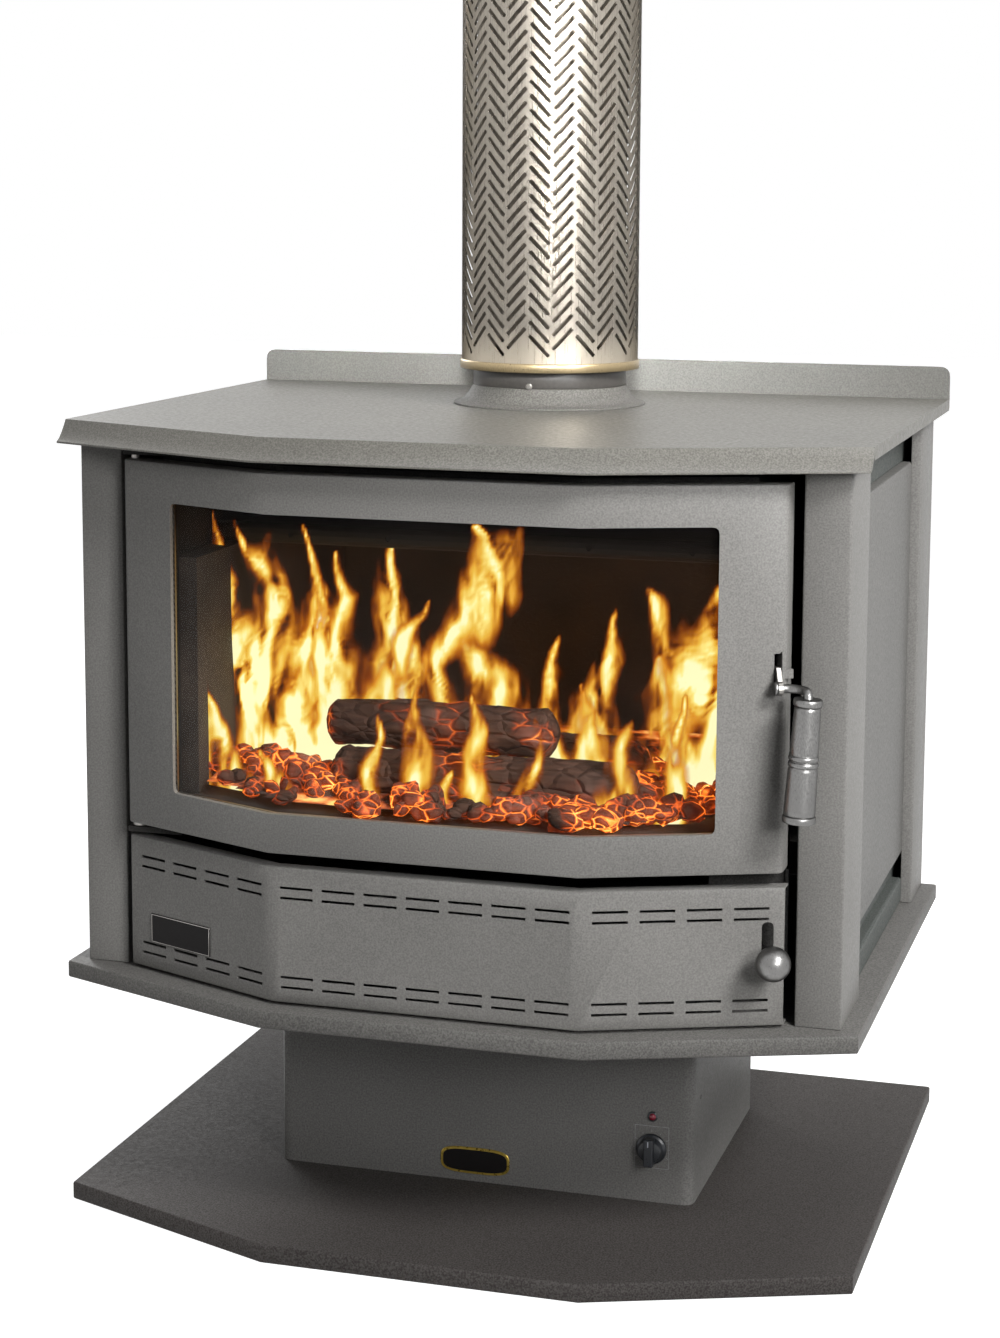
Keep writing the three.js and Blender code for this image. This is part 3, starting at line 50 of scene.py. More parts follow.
OPTIC_Y = 533.4
SENSOR = 36.0
CLIP_END = 60

# Floor and lamps
FLOOR_REACH = 12.0
FLOOR_DROP = 0.0005
FLOOR_TONES = ((0.44, 0.44, 0.44), (0.46, 0.46, 0.46))
FLOOR_SEEN = 0.9
WORLD_LIGHT = 0.12
BODY_MIDDLE = (0.0, -0.1, 0.55)
HALF_TURN = 180
# Each lamp: its place, its width and height, its power in watts, its aim and its spread in degrees
LAMPS = {
    "key": ((2.9, -1.9, 3.3), (1.2, 1.2), 13, (0.35, -0.2, 1.0), 40),
    "overhead": ((0.2, 0.5, 3.4), (2.2, 2.2), 28, BODY_MIDDLE, HALF_TURN),
    "window": ((2.3, -2.5, 1.7), (1.0, 1.0), 6, (0.36, -0.25, 0.95), 42),
    "rear": ((-2.6, 2.4, 1.9), (1.4, 1.4), 40, BODY_MIDDLE, HALF_TURN),
    "flue": ((0.75, -2.6, 2.1), (0.3, 0.5), 5, (0.0, 0.05, 1.2), 16),
}

# Seats and soft edges
SEAT = 0.0003
EDGE_SEGMENTS = 2
EDGE_ANGLE = math.radians(28)
FLAT_ANGLE = math.radians(1)
WELD = 1e-6

# Flue, about its own axis
FLUE_Y = 0.1267
LID_TOP = 0.7675
CASING_RADIUS = 0.090
CASING_WALL = 0.0012
CASING_LOW = 0.8044
CASING_HEIGHT = 0.440
CASING_COLUMNS = 24
CASING_TURN = math.radians(-73.9)
SLOT_ANGLE = math.radians(47)
SLOT_PITCH = 0.0138
SLOT_HALF_LENGTH = 0.0145
SLOT_HALF_WIDTH = 0.0020
SLOT_MARGIN = 0.027
SLOT_STRAIGHT = 0.96
SLOT_WELD = 2e-5
BAND_HEIGHT = 0.009
BAND_WALL = 0.0012
# The band's edges, as insets and heights; its lip has drops from the top
BAND_FOOT = [(0.0005, 0.0), (0.0, 0.0006)]
BAND_LIP = [(0.0, 0.0022), (0.0004, 0.0012), (0.0009, 0.0)]
FLUE_RADIUS = 0.075
FLUE_WALL = 0.0015
FLUE_LOW = 0.7383
FLUE_TOP = 1.2675
COLLAR_RADIUS = 0.0781
COLLAR_TOP = 0.0385
CONE_RADIUS = 0.0981
CONE_RISE = 0.0198
CONE_BRIM = [(0.0, SEAT), (0.0, 0.0014), (0.0006, 0.002)]
CONE_FLARE_INSET = 0.0035
CONE_FLARE_FOOT = 0.0026
CONE_INWARD = 0.62
CONE_UPWARD = 1.15
CONE_STEPS = 8
COLLAR_EDGE = 0.0008
COLLAR_INSET = 0.0005
TINT_LOW = 0.01
TINT_HIGH = 0.05
ROUND_STEPS = 96

# Latch and its grip, about the latch pivot; rod shares are its course right, out and down to the grip
LATCH_PIVOT = Vector((0.2961368, -0.1963228, 0.5646))
BAY_ANGLE = math.radians(22.5)
ROD_LINE = -0.043
ROD_DROP = -0.008
ROD_RADIUS = 0.004
ROD_START = -0.0023
GRIP_SHIFT = 0.0205
GRIP_OUT = 0.021
GRIP_DROP = 0.005
GRIP_LENGTH = 0.110
GRIP_LEAN = math.radians(3.4)
GRIP_TOP_RADIUS = 0.0115
GRIP_END_RADIUS = 0.0142
GRIP_RING_RADIUS = 0.0131
GRIP_FLANGE_RADIUS = 0.0150
GRIP_SOCKET = 0.008
GRIP_RING = 0.0065
GRIP_GROOVE = 0.001
GRIP_BORE = 0.0043
GRIP_TOP_EDGE = [(0.0024, 0.0), (0.001, -0.0004)]
GRIP_SUNK = 0.0009
GRIP_SLIGHT = 0.0001
GRIP_END_INSET = 0.0015
GRIP_END_BORE = 0.00568
BEAD_SUNK = 0.0010
BEAD_FOOT = 0.0008
BEAD_RISE = 0.0015
ROD_SHARES = [(0.12, 0, 0), (0.42, 0.03, 0), (0.75, 0.24, 0), (0.94, 0.55, 0), (1, 0.82, 0.12)]
CAP_RADIUS = 0.0061
CAP_HEIGHT = 0.003

# Air control, speed control and lamp
AIR_KNOB_RADIUS = 0.0158
AIR_KNOB_REACH = 0.026
AIR_KNOB_FOOT = (0.3025, -0.2199, 0.3106)
AIR_NECK = [(0.0040, -0.003), (0.0042, 0.0005), (0.0043, 0.005)]
AIR_NECK_RADIUS = 0.0050
AIR_NECK_MOUTH = 0.0056
AIR_NECK_GAP = 0.0012
PEDESTAL_FRONT = -0.0985
KNOB_X = 0.1703
KNOB_Z = 0.072
KNOB_RADIUS = 0.015
LAMP_X = 0.1713
LAMP_Z = 0.1043
# The knob's outline, as insets from its radius and heights off the pedestal
KNOB_STEPS = [
    (0.0, 0.0006), (0.0, 0.0022), (0.0006, 0.003), (0.0022, 0.0034), (0.003, 0.0044), (0.0034, 0.0096),
    (0.0042, 0.0108), (0.0056, 0.0112),
]
KNOB_GRIP_INSET = 0.0012
KNOB_GRIP_HALF = 0.0048
KNOB_GRIP_FOOT = 0.006
KNOB_GRIP_TOP = 0.016
KNOB_GRIP_ROUND = 0.0016
KNOB_MARK_START = 0.0065
KNOB_MARK_END = 0.012
KNOB_MARK_HALF = 0.0005
KNOB_MARK_DEPTH = 0.0002
KNOB_MARK_ROUND = 0.00015
LENS_RADIUS = 0.0034
LENS_FOOT = 0.0018
LENS_DOME = 0.0022
LENS_TIP = 0.0002
# Outlines of the lamp's body and of its bezel, as insets and heights off the pedestal
LAMP_TUBE = [(0.0, 0.0), (0.0, -0.018), (0.0006, -0.0185)]
BEZEL_RADIUS = 0.005
BEZEL_RIM = [(0.0, SEAT), (0.0, 0.0011), (0.0007, 0.0019)]
BEZEL_TOP = 0.0021
DIAL_LEFT = -0.0166
DIAL_RIGHT = 0.0171
DIAL_LOW = -0.0197
DIAL_HIGH = 0.0226
PRINT_LIFT = 0.0001
PRINT_LINE = 0.0005
TICK_COUNT = 9
TICK_FIRST = 210
TICK_LAST = -30
TICK_GAP = 0.0012
TICK_LONG = 0.0028
TICK_SHORT = 0.0018

# Bare plates, on the lower panel's left facet and on the pedestal
PANEL_CORNER_X = 0.14505
PANEL_CORNER_Y = -0.2851
FACET_RUN = 0.1854
PLATE_SHARE = 0.642
PLATE_Z = 0.2864
PLATE_HALF = 0.0393
PLATE_RISE = 0.0141
PLATE_FOOT = 0.0001
PLATE_TOP = 0.0010
PLATE_ROUND = 0.0003
PLATE_BORDER = 0.0006
PLATE_BORDER_TOP = 0.0012
BADGE_LEFT = -0.0425
BADGE_RIGHT = 0.0280
BADGE_LOW = 0.0262
BADGE_HIGH = 0.0530
BADGE_STEPS = 72
BADGE_BULGE = 0.55
BADGE_INSET = 0.0024
# The foot, the top and the edge of the rim and of the black field inside it
BADGE_RIM = (0.0001, 0.0012, 0.0004)
BADGE_FIELD = (0.0008, 0.0015, 0.0002)

# Backs of the rear panel and of the pedestal's cover, their hoods and screws, and the collar's rivet
REAR_PANEL_BACK = 0.3099
COVER_BACK = 0.1792
VENT_LENGTH = 0.070
VENT_PITCH = 0.090
VENT_COUNT = 6
VENT_HEIGHTS = (0.2828, 0.7242)
# A hood's section, as depths and heights, and its ends, as places along it and shares of its depth
HOOD_PROFILE = [
    (0.0, 0.0075), (0.0012, 0.0066), (0.0027, 0.0042), (0.0036, 0.0010),
    (0.0038, -0.0030), (0.0038, -0.0064),
]
HOOD_ENDS = [(0.003, 0.04), (0.0015, 0.55), (-0.002, 0.92), (-0.006, 1.0)]
HOOD_LIFT = 0.0002
HOOD_WALL = 0.0006
# Lines of screws up each side: distance from the middle, face, head radius and heights
SCREW_LINES = {
    "rear_screw": (0.3555, REAR_PANEL_BACK, 0.0042, (0.262, 0.420, 0.590, 0.745)),
    "cover_screw": (0.2015, COVER_BACK, 0.0036, (0.036, 0.128, 0.226)),
}
SCREW_RISE = 0.0018
SCREW_CENTRE = 0.0003
RIVET_RADIUS = 0.0034
RIVET_RISE = 0.0022
RIVET_SINK = 0.0002
RIVET_TURN = math.radians(-89.6)
RIVET_HEIGHT = 0.7900

# Fire, between the bay front, the side bricks and the rear brick
HEARTH_TOP = 0.4136
FIRE_SEED = 7
BAY_SHOULDER = 0.146
BED_FRONT = -0.242
BED_BACK = 0.195
BED_SIDE = 0.247
BED_WIDE = 0.272
BRICK_FRONT = -0.200
FLAME_HALF_WIDTH = 0.275
FLAME_FOLLOW = 0.9
FLAME_CELL = 0.003
FLAME_LOW = 0.4165
FLAME_HIGH = 0.684
FLAME_BEND = 0.020
FLAME_CURL = 0.009
FLAME_SWAY = 0.016
LOG_STEPS = 56
LOG_SIDES = 40
ASH_CELL = 0.007
ASH_DEPTH = 0.004
HEAP_MIDDLE = -0.135
HEAP_SPREAD = 0.09
HEAP_RISE = 0.016
HEAP_RIPPLE = 0.006
EMBER_COUNT = 620
EMBER_BACK = 0.06
EMBER_SIZES = (0.0055, 0.0125)


def mix(low, high, share):
    return low + (high - low) * share


def make_piece(name, mesh, body, material, replaces=(), smooth=True):
    piece = bpy.data.objects.new(name, mesh)
    bpy.context.scene.collection.objects.link(piece)
    if smooth:
        mesh.shade_smooth()
    mesh.materials.clear()
    mesh.materials.append(material)
    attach(piece, body)
    if replaces:
        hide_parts(*replaces)
    return piece


def mesh_of(name, points, faces):
    mesh = bpy.data.meshes.new(name)
    mesh.from_pydata([tuple(point) for point in points], [], faces)
    mesh.validate()
    return mesh


def facing_out(mesh):
    form = bmesh.new()
    form.from_mesh(mesh)
    bmesh.ops.recalc_face_normals(form, faces=form.faces)
    form.to_mesh(mesh)
    form.free()
    return mesh


def ring_faces(rings, steps, closed=False):
    """Faces between rings of points that lie one after another, and over both ends unless closed."""
    faces = []
    for ring in range(rings if closed else rings - 1):
        above = (ring + 1) % rings
        for step in range(steps):
            beside = (step + 1) % steps
            faces.append((
                ring * steps + step, ring * steps + beside,
                above * steps + beside, above * steps + step,
            ))
    if not closed:
        faces.append(tuple(range(steps - 1, -1, -1)))
        faces.append(tuple(range((rings - 1) * steps, rings * steps)))
    return faces


def lathe(name, outline, steps=ROUND_STEPS, closed=False, place=Matrix()):
    """A round mesh about +Z from radius and height pairs; place moves it afterwards."""
    points = []
    for radius, height in outline:
        for step in range(steps):
            angle = 2 * math.pi * step / steps
            points.append((radius * math.cos(angle), radius * math.sin(angle), height))
    mesh = facing_out(mesh_of(name, points, ring_faces(len(outline), steps, closed)))
    mesh.transform(place)
    return mesh


def tube_along(name, path, radius, sides):
    """A round bar that follows a list of points and keeps its section square to the path."""
    points = []
    side = None
    for index, point in enumerate(path):
        ahead = path[min(index + 1, len(path) - 1)]
        behind = path[max(index - 1, 0)]
        along = (ahead - behind).normalized()
        side = along.orthogonal() if side is None else side - along * side.dot(along)
        side.normalize()
        across = along.cross(side)
        for step in range(sides):
            angle = 2 * math.pi * step / sides
            points.append(point + radius * (math.cos(angle) * side + math.sin(angle) * across))
    return facing_out(mesh_of(name, points, ring_faces(len(path), sides)))


def smooth_path(knots, steps=8):
    """Points on a smooth curve through the knots."""
    path = []
    for index in range(len(knots) - 1):
        before = knots[max(index - 1, 0)]
        start = knots[index]
        end = knots[index + 1]
        after = knots[min(index + 2, len(knots) - 1)]
        for step in range(steps):
            t = step / steps
            path.append(0.5 * (
                2 * start + (end - before) * t
                + (2 * before - 5 * start + 4 * end - after) * t ** 2
                + (3 * start - before - 3 * end + after) * t ** 3
            ))
    path.append(knots[-1])
    return path


def soften(name, body, material, slot, width, merge=True):
    """A copy of a CAD piece whose edges are rounded, which stands for it."""
    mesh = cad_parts[name].data.copy()
    form = bmesh.new()
    form.from_mesh(mesh)
    bmesh.ops.remove_doubles(form, verts=form.verts, dist=WELD)
    if merge:
        bmesh.ops.dissolve_limit(form, angle_limit=FLAT_ANGLE, verts=form.verts, edges=form.edges)
    form.to_mesh(mesh)
    form.free()
    if mesh.has_custom_normals:
        mesh.attributes.remove(mesh.attributes["custom_normal"])
    piece = make_piece(name + "_finish", mesh, body, material, [name])
    rounding = piece.modifiers.new("rounding", "BEVEL")
    rounding.width = width
    rounding.segments = EDGE_SEGMENTS
    rounding.limit_method = "ANGLE"
    rounding.angle_limit = EDGE_ANGLE
    rounding.harden_normals = True
    rounding.miter_outer = "MITER_ARC"


# Node materials


def node(tree, kind, inputs=None, **settings):
    made = tree.nodes.new(kind)
    for name, value in settings.items():
        setattr(made, name, value)
    for socket, value in (inputs or {}).items():
        if isinstance(value, bpy.types.NodeSocket):
            tree.links.new(value, made.inputs[socket])
        else:
            made.inputs[socket].default_value = value
    return made


def new_material(name, **settings):
    material = bpy.data.materials.new(name)
    material.use_nodes = True
    shader = material.node_tree.nodes["Principled BSDF"]
    for socket, value in settings.items():
        shader.inputs[socket.replace("_", " ")].default_value = value
    return material, material.node_tree, shader


def wire(shader, socket, value):
    shader.id_data.links.new(value, shader.inputs[socket])


def place_of(tree, stretch=(1, 1, 1)):
    place = node(tree, "ShaderNodeTexCoord").outputs["Object"]
    if tuple(stretch) == (1, 1, 1):
        return place
    return node(tree, "ShaderNodeMapping", {"Vector": place, "Scale": stretch}).outputs["Vector"]


def noise_of(tree, place, scale, detail):
    settings = {"Vector": place, "Scale": scale, "Detail": detail}
    return node(tree, "ShaderNodeTexNoise", settings).outputs["Fac"]


def ramp_of(tree, value, stops):
    made = node(tree, "ShaderNodeValToRGB", {"Fac": value})
    ramp = made.color_ramp
    while len(ramp.elements) < len(stops):
        ramp.elements.new(0.5)
    for element, (position, colour) in zip(ramp.elements, stops):
        element.position = position
        element.color = (*colour, 1)
    return made.outputs["Color"]


def level_of(tree, value, low, high, new_low=0.0, new_high=1.0):
    made = node(tree, "ShaderNodeMapRange", {
        "Value": value, "From Min": low, "From Max": high, "To Min": new_low, "To Max": new_high,
    })
    return made.outputs["Result"]


def blend_of(tree, share, first, second):
    made = node(tree, "ShaderNodeMix", data_type="RGBA")
    for index, value in ((0, share), (6, first), (7, second)):
        if isinstance(value, bpy.types.NodeSocket):
            tree.links.new(value, made.inputs[index])
        else:
            made.inputs[index].default_value = (*value, 1) if isinstance(value, tuple) else value
    return made.outputs[2]


def maths(tree, operation, first, second=0.0):
    made = node(tree, "ShaderNodeMath", operation=operation)
    for index, value in ((0, first), (1, second)):
        if isinstance(value, bpy.types.NodeSocket):
            tree.links.new(value, made.inputs[index])
        else:
            made.inputs[index].default_value = value
    return made.outputs[0]


def add_bump(tree, shader, height, strength, distance):
    settings = {"Height": height, "Strength": strength, "Distance": distance}
    bump = node(tree, "ShaderNodeBump", settings)
    wire(shader, "Normal", bump.outputs["Normal"])


def shade(colour, share):
    return tuple(min(channel * share, 1) for channel in colour)


def paint(name, colour, roughness, specular=0.3, grain=0.13):
    """Metallic stove paint: a fine grain of lighter and darker flakes over slow cloudiness."""
    material, tree, shader = new_material(name, Specular_IOR_Level=specular)
    place = place_of(tree)
    flakes = level_of(tree, noise_of(tree, place, 620, 3), 0.36, 0.64)
    clouds = level_of(tree, noise_of(tree, place, 7, 3), 0.3, 0.7)
    cloudy = blend_of(tree, clouds, shade(colour, 0.93), shade(colour, 1.07))
    dark = blend_of(tree, grain, cloudy, (0.0, 0.0, 0.0))
    light = blend_of(tree, grain * 0.35, cloudy, (1.0, 0.98, 0.93))
    wire(shader, "Base Color", blend_of(tree, flakes, dark, light))
    gloss = level_of(tree, noise_of(tree, place, 240, 2), 0.3, 0.7, roughness - 0.06, roughness + 0.07)
    wire(shader, "Roughness", gloss)
    add_bump(tree, shader, noise_of(tree, place, 480, 3), strength=0.35, distance=0.00025)
    return material


def brushed(name, colour, roughness, stretch=(1, 1, 0.03), streaks=0.12, tint=None, metallic=1.0, rim=1.0):
    """Bare metal, streaked along its shortest stretch; rim dulls its gloss at a grazing angle."""
    material, tree, shader = new_material(name, Metallic=metallic, Specular_Tint=(rim, rim, rim, 1))
    lines = level_of(tree, noise_of(tree, place_of(tree, stretch), 900, 3), 0.3, 0.7)
    smears = level_of(tree, noise_of(tree, place_of(tree), 18, 3), 0.3, 0.7)
    metal = blend_of(tree, lines, shade(colour, 1 - streaks), shade(colour, 1 + streaks))
    metal = blend_of(tree, smears, metal, shade(colour, 0.9))
    if tint is not None:
        metal = tint(tree, metal)
    wire(shader, "Base Color", metal)
    gloss = level_of(tree, lines, 0, 1, roughness - 0.05, roughness + 0.08)
    wire(shader, "Roughness", gloss)
    add_bump(tree, shader, lines, strength=0.12, distance=0.0001)
    return material


def heat_tint_and_lid_reflection(tree, metal):
    """The lowest part of the casing is pale and straw coloured: partly heat tint, partly a painted reflection
    of the lit lid below it.
    """
    place = node(tree, "ShaderNodeSeparateXYZ", {"Vector": place_of(tree)}).outputs["Z"]
    wave = noise_of(tree, place_of(tree), 14, 2)
    height = maths(tree, "ADD", place, maths(tree, "MULTIPLY", wave, 0.012))
    share = level_of(tree, height, CASING_LOW + TINT_LOW, CASING_LOW + TINT_HIGH, 0.7, 0)
    # Pale straw tone: real heat tint mixed with a painted reflection of the lid.
    return blend_of(tree, share, metal, (0.74, 0.65, 0.52))


def moulding(name, colour, roughness):
    material, tree, shader = new_material(name)
    place = place_of(tree)
    mottle = level_of(tree, noise_of(tree, place, 60, 3), 0.3, 0.7)
    wire(shader, "Base Color", blend_of(tree, mottle, shade(colour, 0.85), shade(colour, 1.2)))
    gloss = level_of(tree, noise_of(tree, place, 400, 2), 0.3, 0.7, roughness - 0.05, roughness + 0.08)
    wire(shader, "Roughness", gloss)
    add_bump(tree, shader, noise_of(tree, place, 900, 2), strength=0.2, distance=0.0002)
    return material


def fire_board(name):
    """Vermiculite board: coarse pale flakes under uneven soot, with the whole board kept dark as painted
    shade for the inside of the firebox.
    """
    material, tree, shader = new_material(name, Roughness=0.95)
    place = place_of(tree)
    flakes = node(tree, "ShaderNodeTexVoronoi", {"Vector": place, "Scale": 260.0}).outputs["Color"]
    grey = node(tree, "ShaderNodeRGBToBW", {"Color": flakes}).outputs["Val"]
    # The board's tones are darkened as painted shade for the dim inside of the firebox.
    board = blend_of(tree, grey, (0.075, 0.055, 0.042), (0.14, 0.105, 0.08))
    soot = level_of(tree, noise_of(tree, place, 9, 4), 0.35, 0.65, 0.55, 0.97)
    soot_and_shade = blend_of(tree, soot, board, (0.018, 0.015, 0.013))
    wire(shader, "Base Color", soot_and_shade)
    add_bump(tree, shader, grey, strength=0.4, distance=0.0008)
    return material


def rope_cloth(name):
    material, tree, shader = new_material(name, Roughness=0.95)
    weave = node(tree, "ShaderNodeTexWave", {
        "Vector": place_of(tree), "Scale": 110.0, "Distortion": 2.0, "Detail": 2.0,
    }, bands_direction="DIAGONAL").outputs["Fac"]
    wire(shader, "Base Color", blend_of(tree, weave, (0.02, 0.019, 0.017), (0.09, 0.085, 0.075)))
    add_bump(tree, shader, weave, strength=0.6, distance=0.001)
    return material


def window_glass(name):
    """Thin clear ceramic glass: mostly open, with a faint brown film that is thicker in patches."""
    material, tree, shader = new_material(name, IOR=1.45, Roughness=0.03, Specular_IOR_Level=0.35)
    film = level_of(tree, noise_of(tree, place_of(tree), 6, 3), 0.3, 0.75)
    wire(shader, "Base Color", blend_of(tree, film, (0.012, 0.008, 0.006), (0.03, 0.021, 0.016)))
    wire(shader, "Alpha", level_of(tree, film, 0, 1, 0.05, 0.14))
    return material


def bent_place(tree, place, scale, amount):
    """The place moved about by a slow noise, so that a pattern drawn on it wanders."""
    drift = node(tree, "ShaderNodeTexNoise", {"Vector": place, "Scale": scale}).outputs["Color"]
    made = node(tree, "ShaderNodeVectorMath", operation="MULTIPLY_ADD")
    tree.links.new(drift, made.inputs[0])
    made.inputs[1].default_value = (amount, amount, amount)
    tree.links.new(place, made.inputs[2])
    return made.outputs["Vector"]


def charred(name, heat, block_scale):
    """Burnt wood: brown-black blocks split by cracks, with a glow that is deepest in the cracks."""
    material, tree, shader = new_material(name, Roughness=0.9, Specular_IOR_Level=0.25)
    place = place_of(tree, (0.55, 1, 1))
    cells = node(tree, "ShaderNodeTexVoronoi", {
        "Vector": bent_place(tree, place, 40, 0.012), "Scale": block_scale,
    }, feature="DISTANCE_TO_EDGE").outputs["Distance"]
    crack = level_of(tree, cells, 0.0, 0.10, 1, 0)
    fibres = noise_of(tree, place_of(tree, (0.12, 1, 1)), 260, 3)
    coal = blend_of(tree, fibres, (0.016, 0.009, 0.007), (0.15, 0.075, 0.048))
    ash = level_of(tree, noise_of(tree, place, 34, 4), 0.56, 0.74)
    wire(shader, "Base Color", blend_of(tree, ash, coal, (0.22, 0.14, 0.11)))
    patches = level_of(tree, noise_of(tree, place_of(tree), 24, 3), 0.60 - 0.22 * heat, 0.80 - 0.12 * heat)
    depth = maths(tree, "ADD", maths(tree, "MULTIPLY", crack, 0.7), maths(tree, "MULTIPLY", fibres, 0.35))
    glow = maths(tree, "MULTIPLY", depth, patches)
    colour = ramp_of(tree, glow, [
        (0.0, (0.25, 0.018, 0.0)), (0.3, (0.75, 0.09, 0.008)),
        (0.6, (1.0, 0.28, 0.03)), (1.0, (1.0, 0.6, 0.2)),
    ])
    wire(shader, "Emission Color", colour)
    wire(shader, "Emission Strength", maths(tree, "MULTIPLY", glow, 1.0 + 2.2 * heat))
    relief = maths(tree, "ADD", level_of(tree, cells, 0, 0.18), maths(tree, "MULTIPLY", fibres, 0.3))
    add_bump(tree, shader, relief, strength=0.8, distance=0.003)
    return material


def flames(name):
    """Fire: clear where a sheet is thin, deep orange at its edge, and pale yellow where it is thick."""
    material, tree, shader = new_material(
        name, Base_Color=(0, 0, 0, 1), Roughness=1.0, Specular_IOR_Level=0.0,
    )
    thick = node(tree, "ShaderNodeAttribute", attribute_name="fire", attribute_type="GEOMETRY").outputs["Fac"]
    place = place_of(tree, (1, 1, 0.3))
    streaks = noise_of(tree, bent_place(tree, place, 30, 0.02), 120, 3)
    fire = maths(tree, "ADD", thick, maths(tree, "MULTIPLY", maths(tree, "SUBTRACT", streaks, 0.5), 0.5))
    colour = ramp_of(tree, level_of(tree, fire, 0.0, 1.25), [
        (0.0, (0.42, 0.045, 0.004)), (0.18, (0.78, 0.15, 0.008)), (0.36, (0.98, 0.34, 0.02)),
        (0.58, (1.0, 0.58, 0.07)), (0.8, (1.0, 0.80, 0.22)), (1.0, (1.0, 0.93, 0.52)),
    ])
    wire(shader, "Emission Color", colour)
    wire(shader, "Emission Strength", level_of(tree, fire, 0.0, 1.1, 0.55, 1.25))
    cover = level_of(tree, fire, 0.03, 0.62)
    edge = level_of(tree, thick, 0.0, 0.12)
    wire(shader, "Alpha", maths(tree, "MULTIPLY", cover, edge))
    return material


def ash_ground(name):
    """Grey and brown ash with embers that glow through it."""
    material, tree, shader = new_material(name, Roughness=0.95)
    place = place_of(tree)
    mottle = noise_of(tree, place, 60, 4)
    wire(shader, "Base Color", blend_of(tree, mottle, (0.02, 0.012, 0.010), (0.12, 0.075, 0.055)))
    hot = level_of(tree, noise_of(tree, place, 34, 3), 0.45, 0.7)
    colour = ramp_of(tree, hot, [(0.0, (0.5, 0.03, 0.0)), (0.5, (1.0, 0.2, 0.02)), (1.0, (1.0, 0.55, 0.15))])
    wire(shader, "Emission Color", colour)
    wire(shader, "Emission Strength", maths(tree, "MULTIPLY", hot, 1.6))
    add_bump(tree, shader, mottle, strength=0.6, distance=0.002)
    return material


def plain_matter(name, colour, roughness, metallic=0.0, specular=0.5, wear=0.15, scale=300):
    """A small smooth piece whose tone and gloss vary a little."""
    material, tree, shader = new_material(name, Metallic=metallic, Specular_IOR_Level=specular)
    place = place_of(tree)
    mottle = level_of(tree, noise_of(tree, place, scale, 3), 0.3, 0.7)
    wire(shader, "Base Color", blend_of(tree, mottle, shade(colour, 1 - wear), shade(colour, 1 + wear)))
    wire(shader, "Roughness", level_of(tree, mottle, 0, 1, roughness - 0.05, roughness + 0.08))
    return material


charcoal = paint("charcoal", (0.175, 0.170, 0.161), 0.48, specular=0.25)
base_paint = paint("dark_paint", (0.042, 0.036, 0.034), 0.6, specular=0.15, grain=0.13)
# The side panels take the body's charcoal paint, darkened as painted shade for the dimmer light on the sides.
shaded_side_paint = paint("shaded_side_paint", (0.118, 0.115, 0.109), 0.5, specular=0.2)
tray_paint = paint("tray_paint", (0.11, 0.106, 0.100), 0.55, specular=0.2, grain=0.16)
pedestal_paint = paint("pedestal_paint", (0.15, 0.146, 0.140), 0.5, specular=0.2, grain=0.16)
lid_paint = paint("top_paint", (0.095, 0.090, 0.077), 0.42, specular=0.5, grain=0.16)
cone_paint = paint("cone_paint", (0.085, 0.081, 0.073), 0.6, specular=0.15, grain=0.16)
# The splashback shares the lid's paint; its lighter tone here is a painted reflection of the pale lid before
# it.
splash_paint_with_reflection = paint("splash_paint_with_reflection", (0.17, 0.168, 0.155), 0.5)
heat_black = paint("heat_black", (0.018, 0.017, 0.016), 0.66, specular=0.15, grain=0.05)
plain_steel = brushed("plain_steel", (0.36, 0.345, 0.325), 0.36)
stainless = brushed("stainless", (0.26, 0.235, 0.2), 0.3, tint=heat_tint_and_lid_reflection, metallic=0.9, rim=0.05)
pipe_steel = brushed("pipe_steel", (0.22, 0.195, 0.16), 0.34, rim=0.4)
pewter = brushed("pewter", (0.23, 0.227, 0.222), 0.32, (1, 1, 0.4), 0.22, rim=0.4)
brassy = brushed("brassy", (0.33, 0.26, 0.16), 0.4, (1, 1, 0.4), 0.16)
black_moulding = moulding("black_moulding", (0.018, 0.02, 0.024), 0.32)
board = fire_board("fire_board")
rope = rope_cloth("rope")
glass = window_glass("glass")
wood_coal = charred("wood_coal", 0.45, 78.0)
ember_coal = charred("ember_coal", 1.15, 95.0)
ash_matter = ash_ground("ash_ground")
fire_matter = flames("fire")
band_brass = brushed("band_brass", (0.36, 0.28, 0.16), 0.32, (1, 1, 0.4), 0.16, metallic=0.8)
collar_black = plain_matter("collar_black", (0.050, 0.046, 0.042), 0.36)
shield_paint = paint("shield_paint", (0.070, 0.078, 0.073), 0.6, specular=0.15)
plate_black = plain_matter("plate_black", (0.006, 0.005, 0.005), 0.5, specular=0.12)
gold_rim = plain_matter("gold_rim", (0.62, 0.44, 0.09), 0.3, metallic=1.0)
lamp_red = plain_matter("lamp_red", (0.25, 0.012, 0.03), 0.12)
print_ink = plain_matter("print_ink", (0.30, 0.30, 0.30), 0.6)
pale_mark = plain_matter("pale_mark", (0.42, 0.44, 0.48), 0.5)


ROOT = "stove_body"

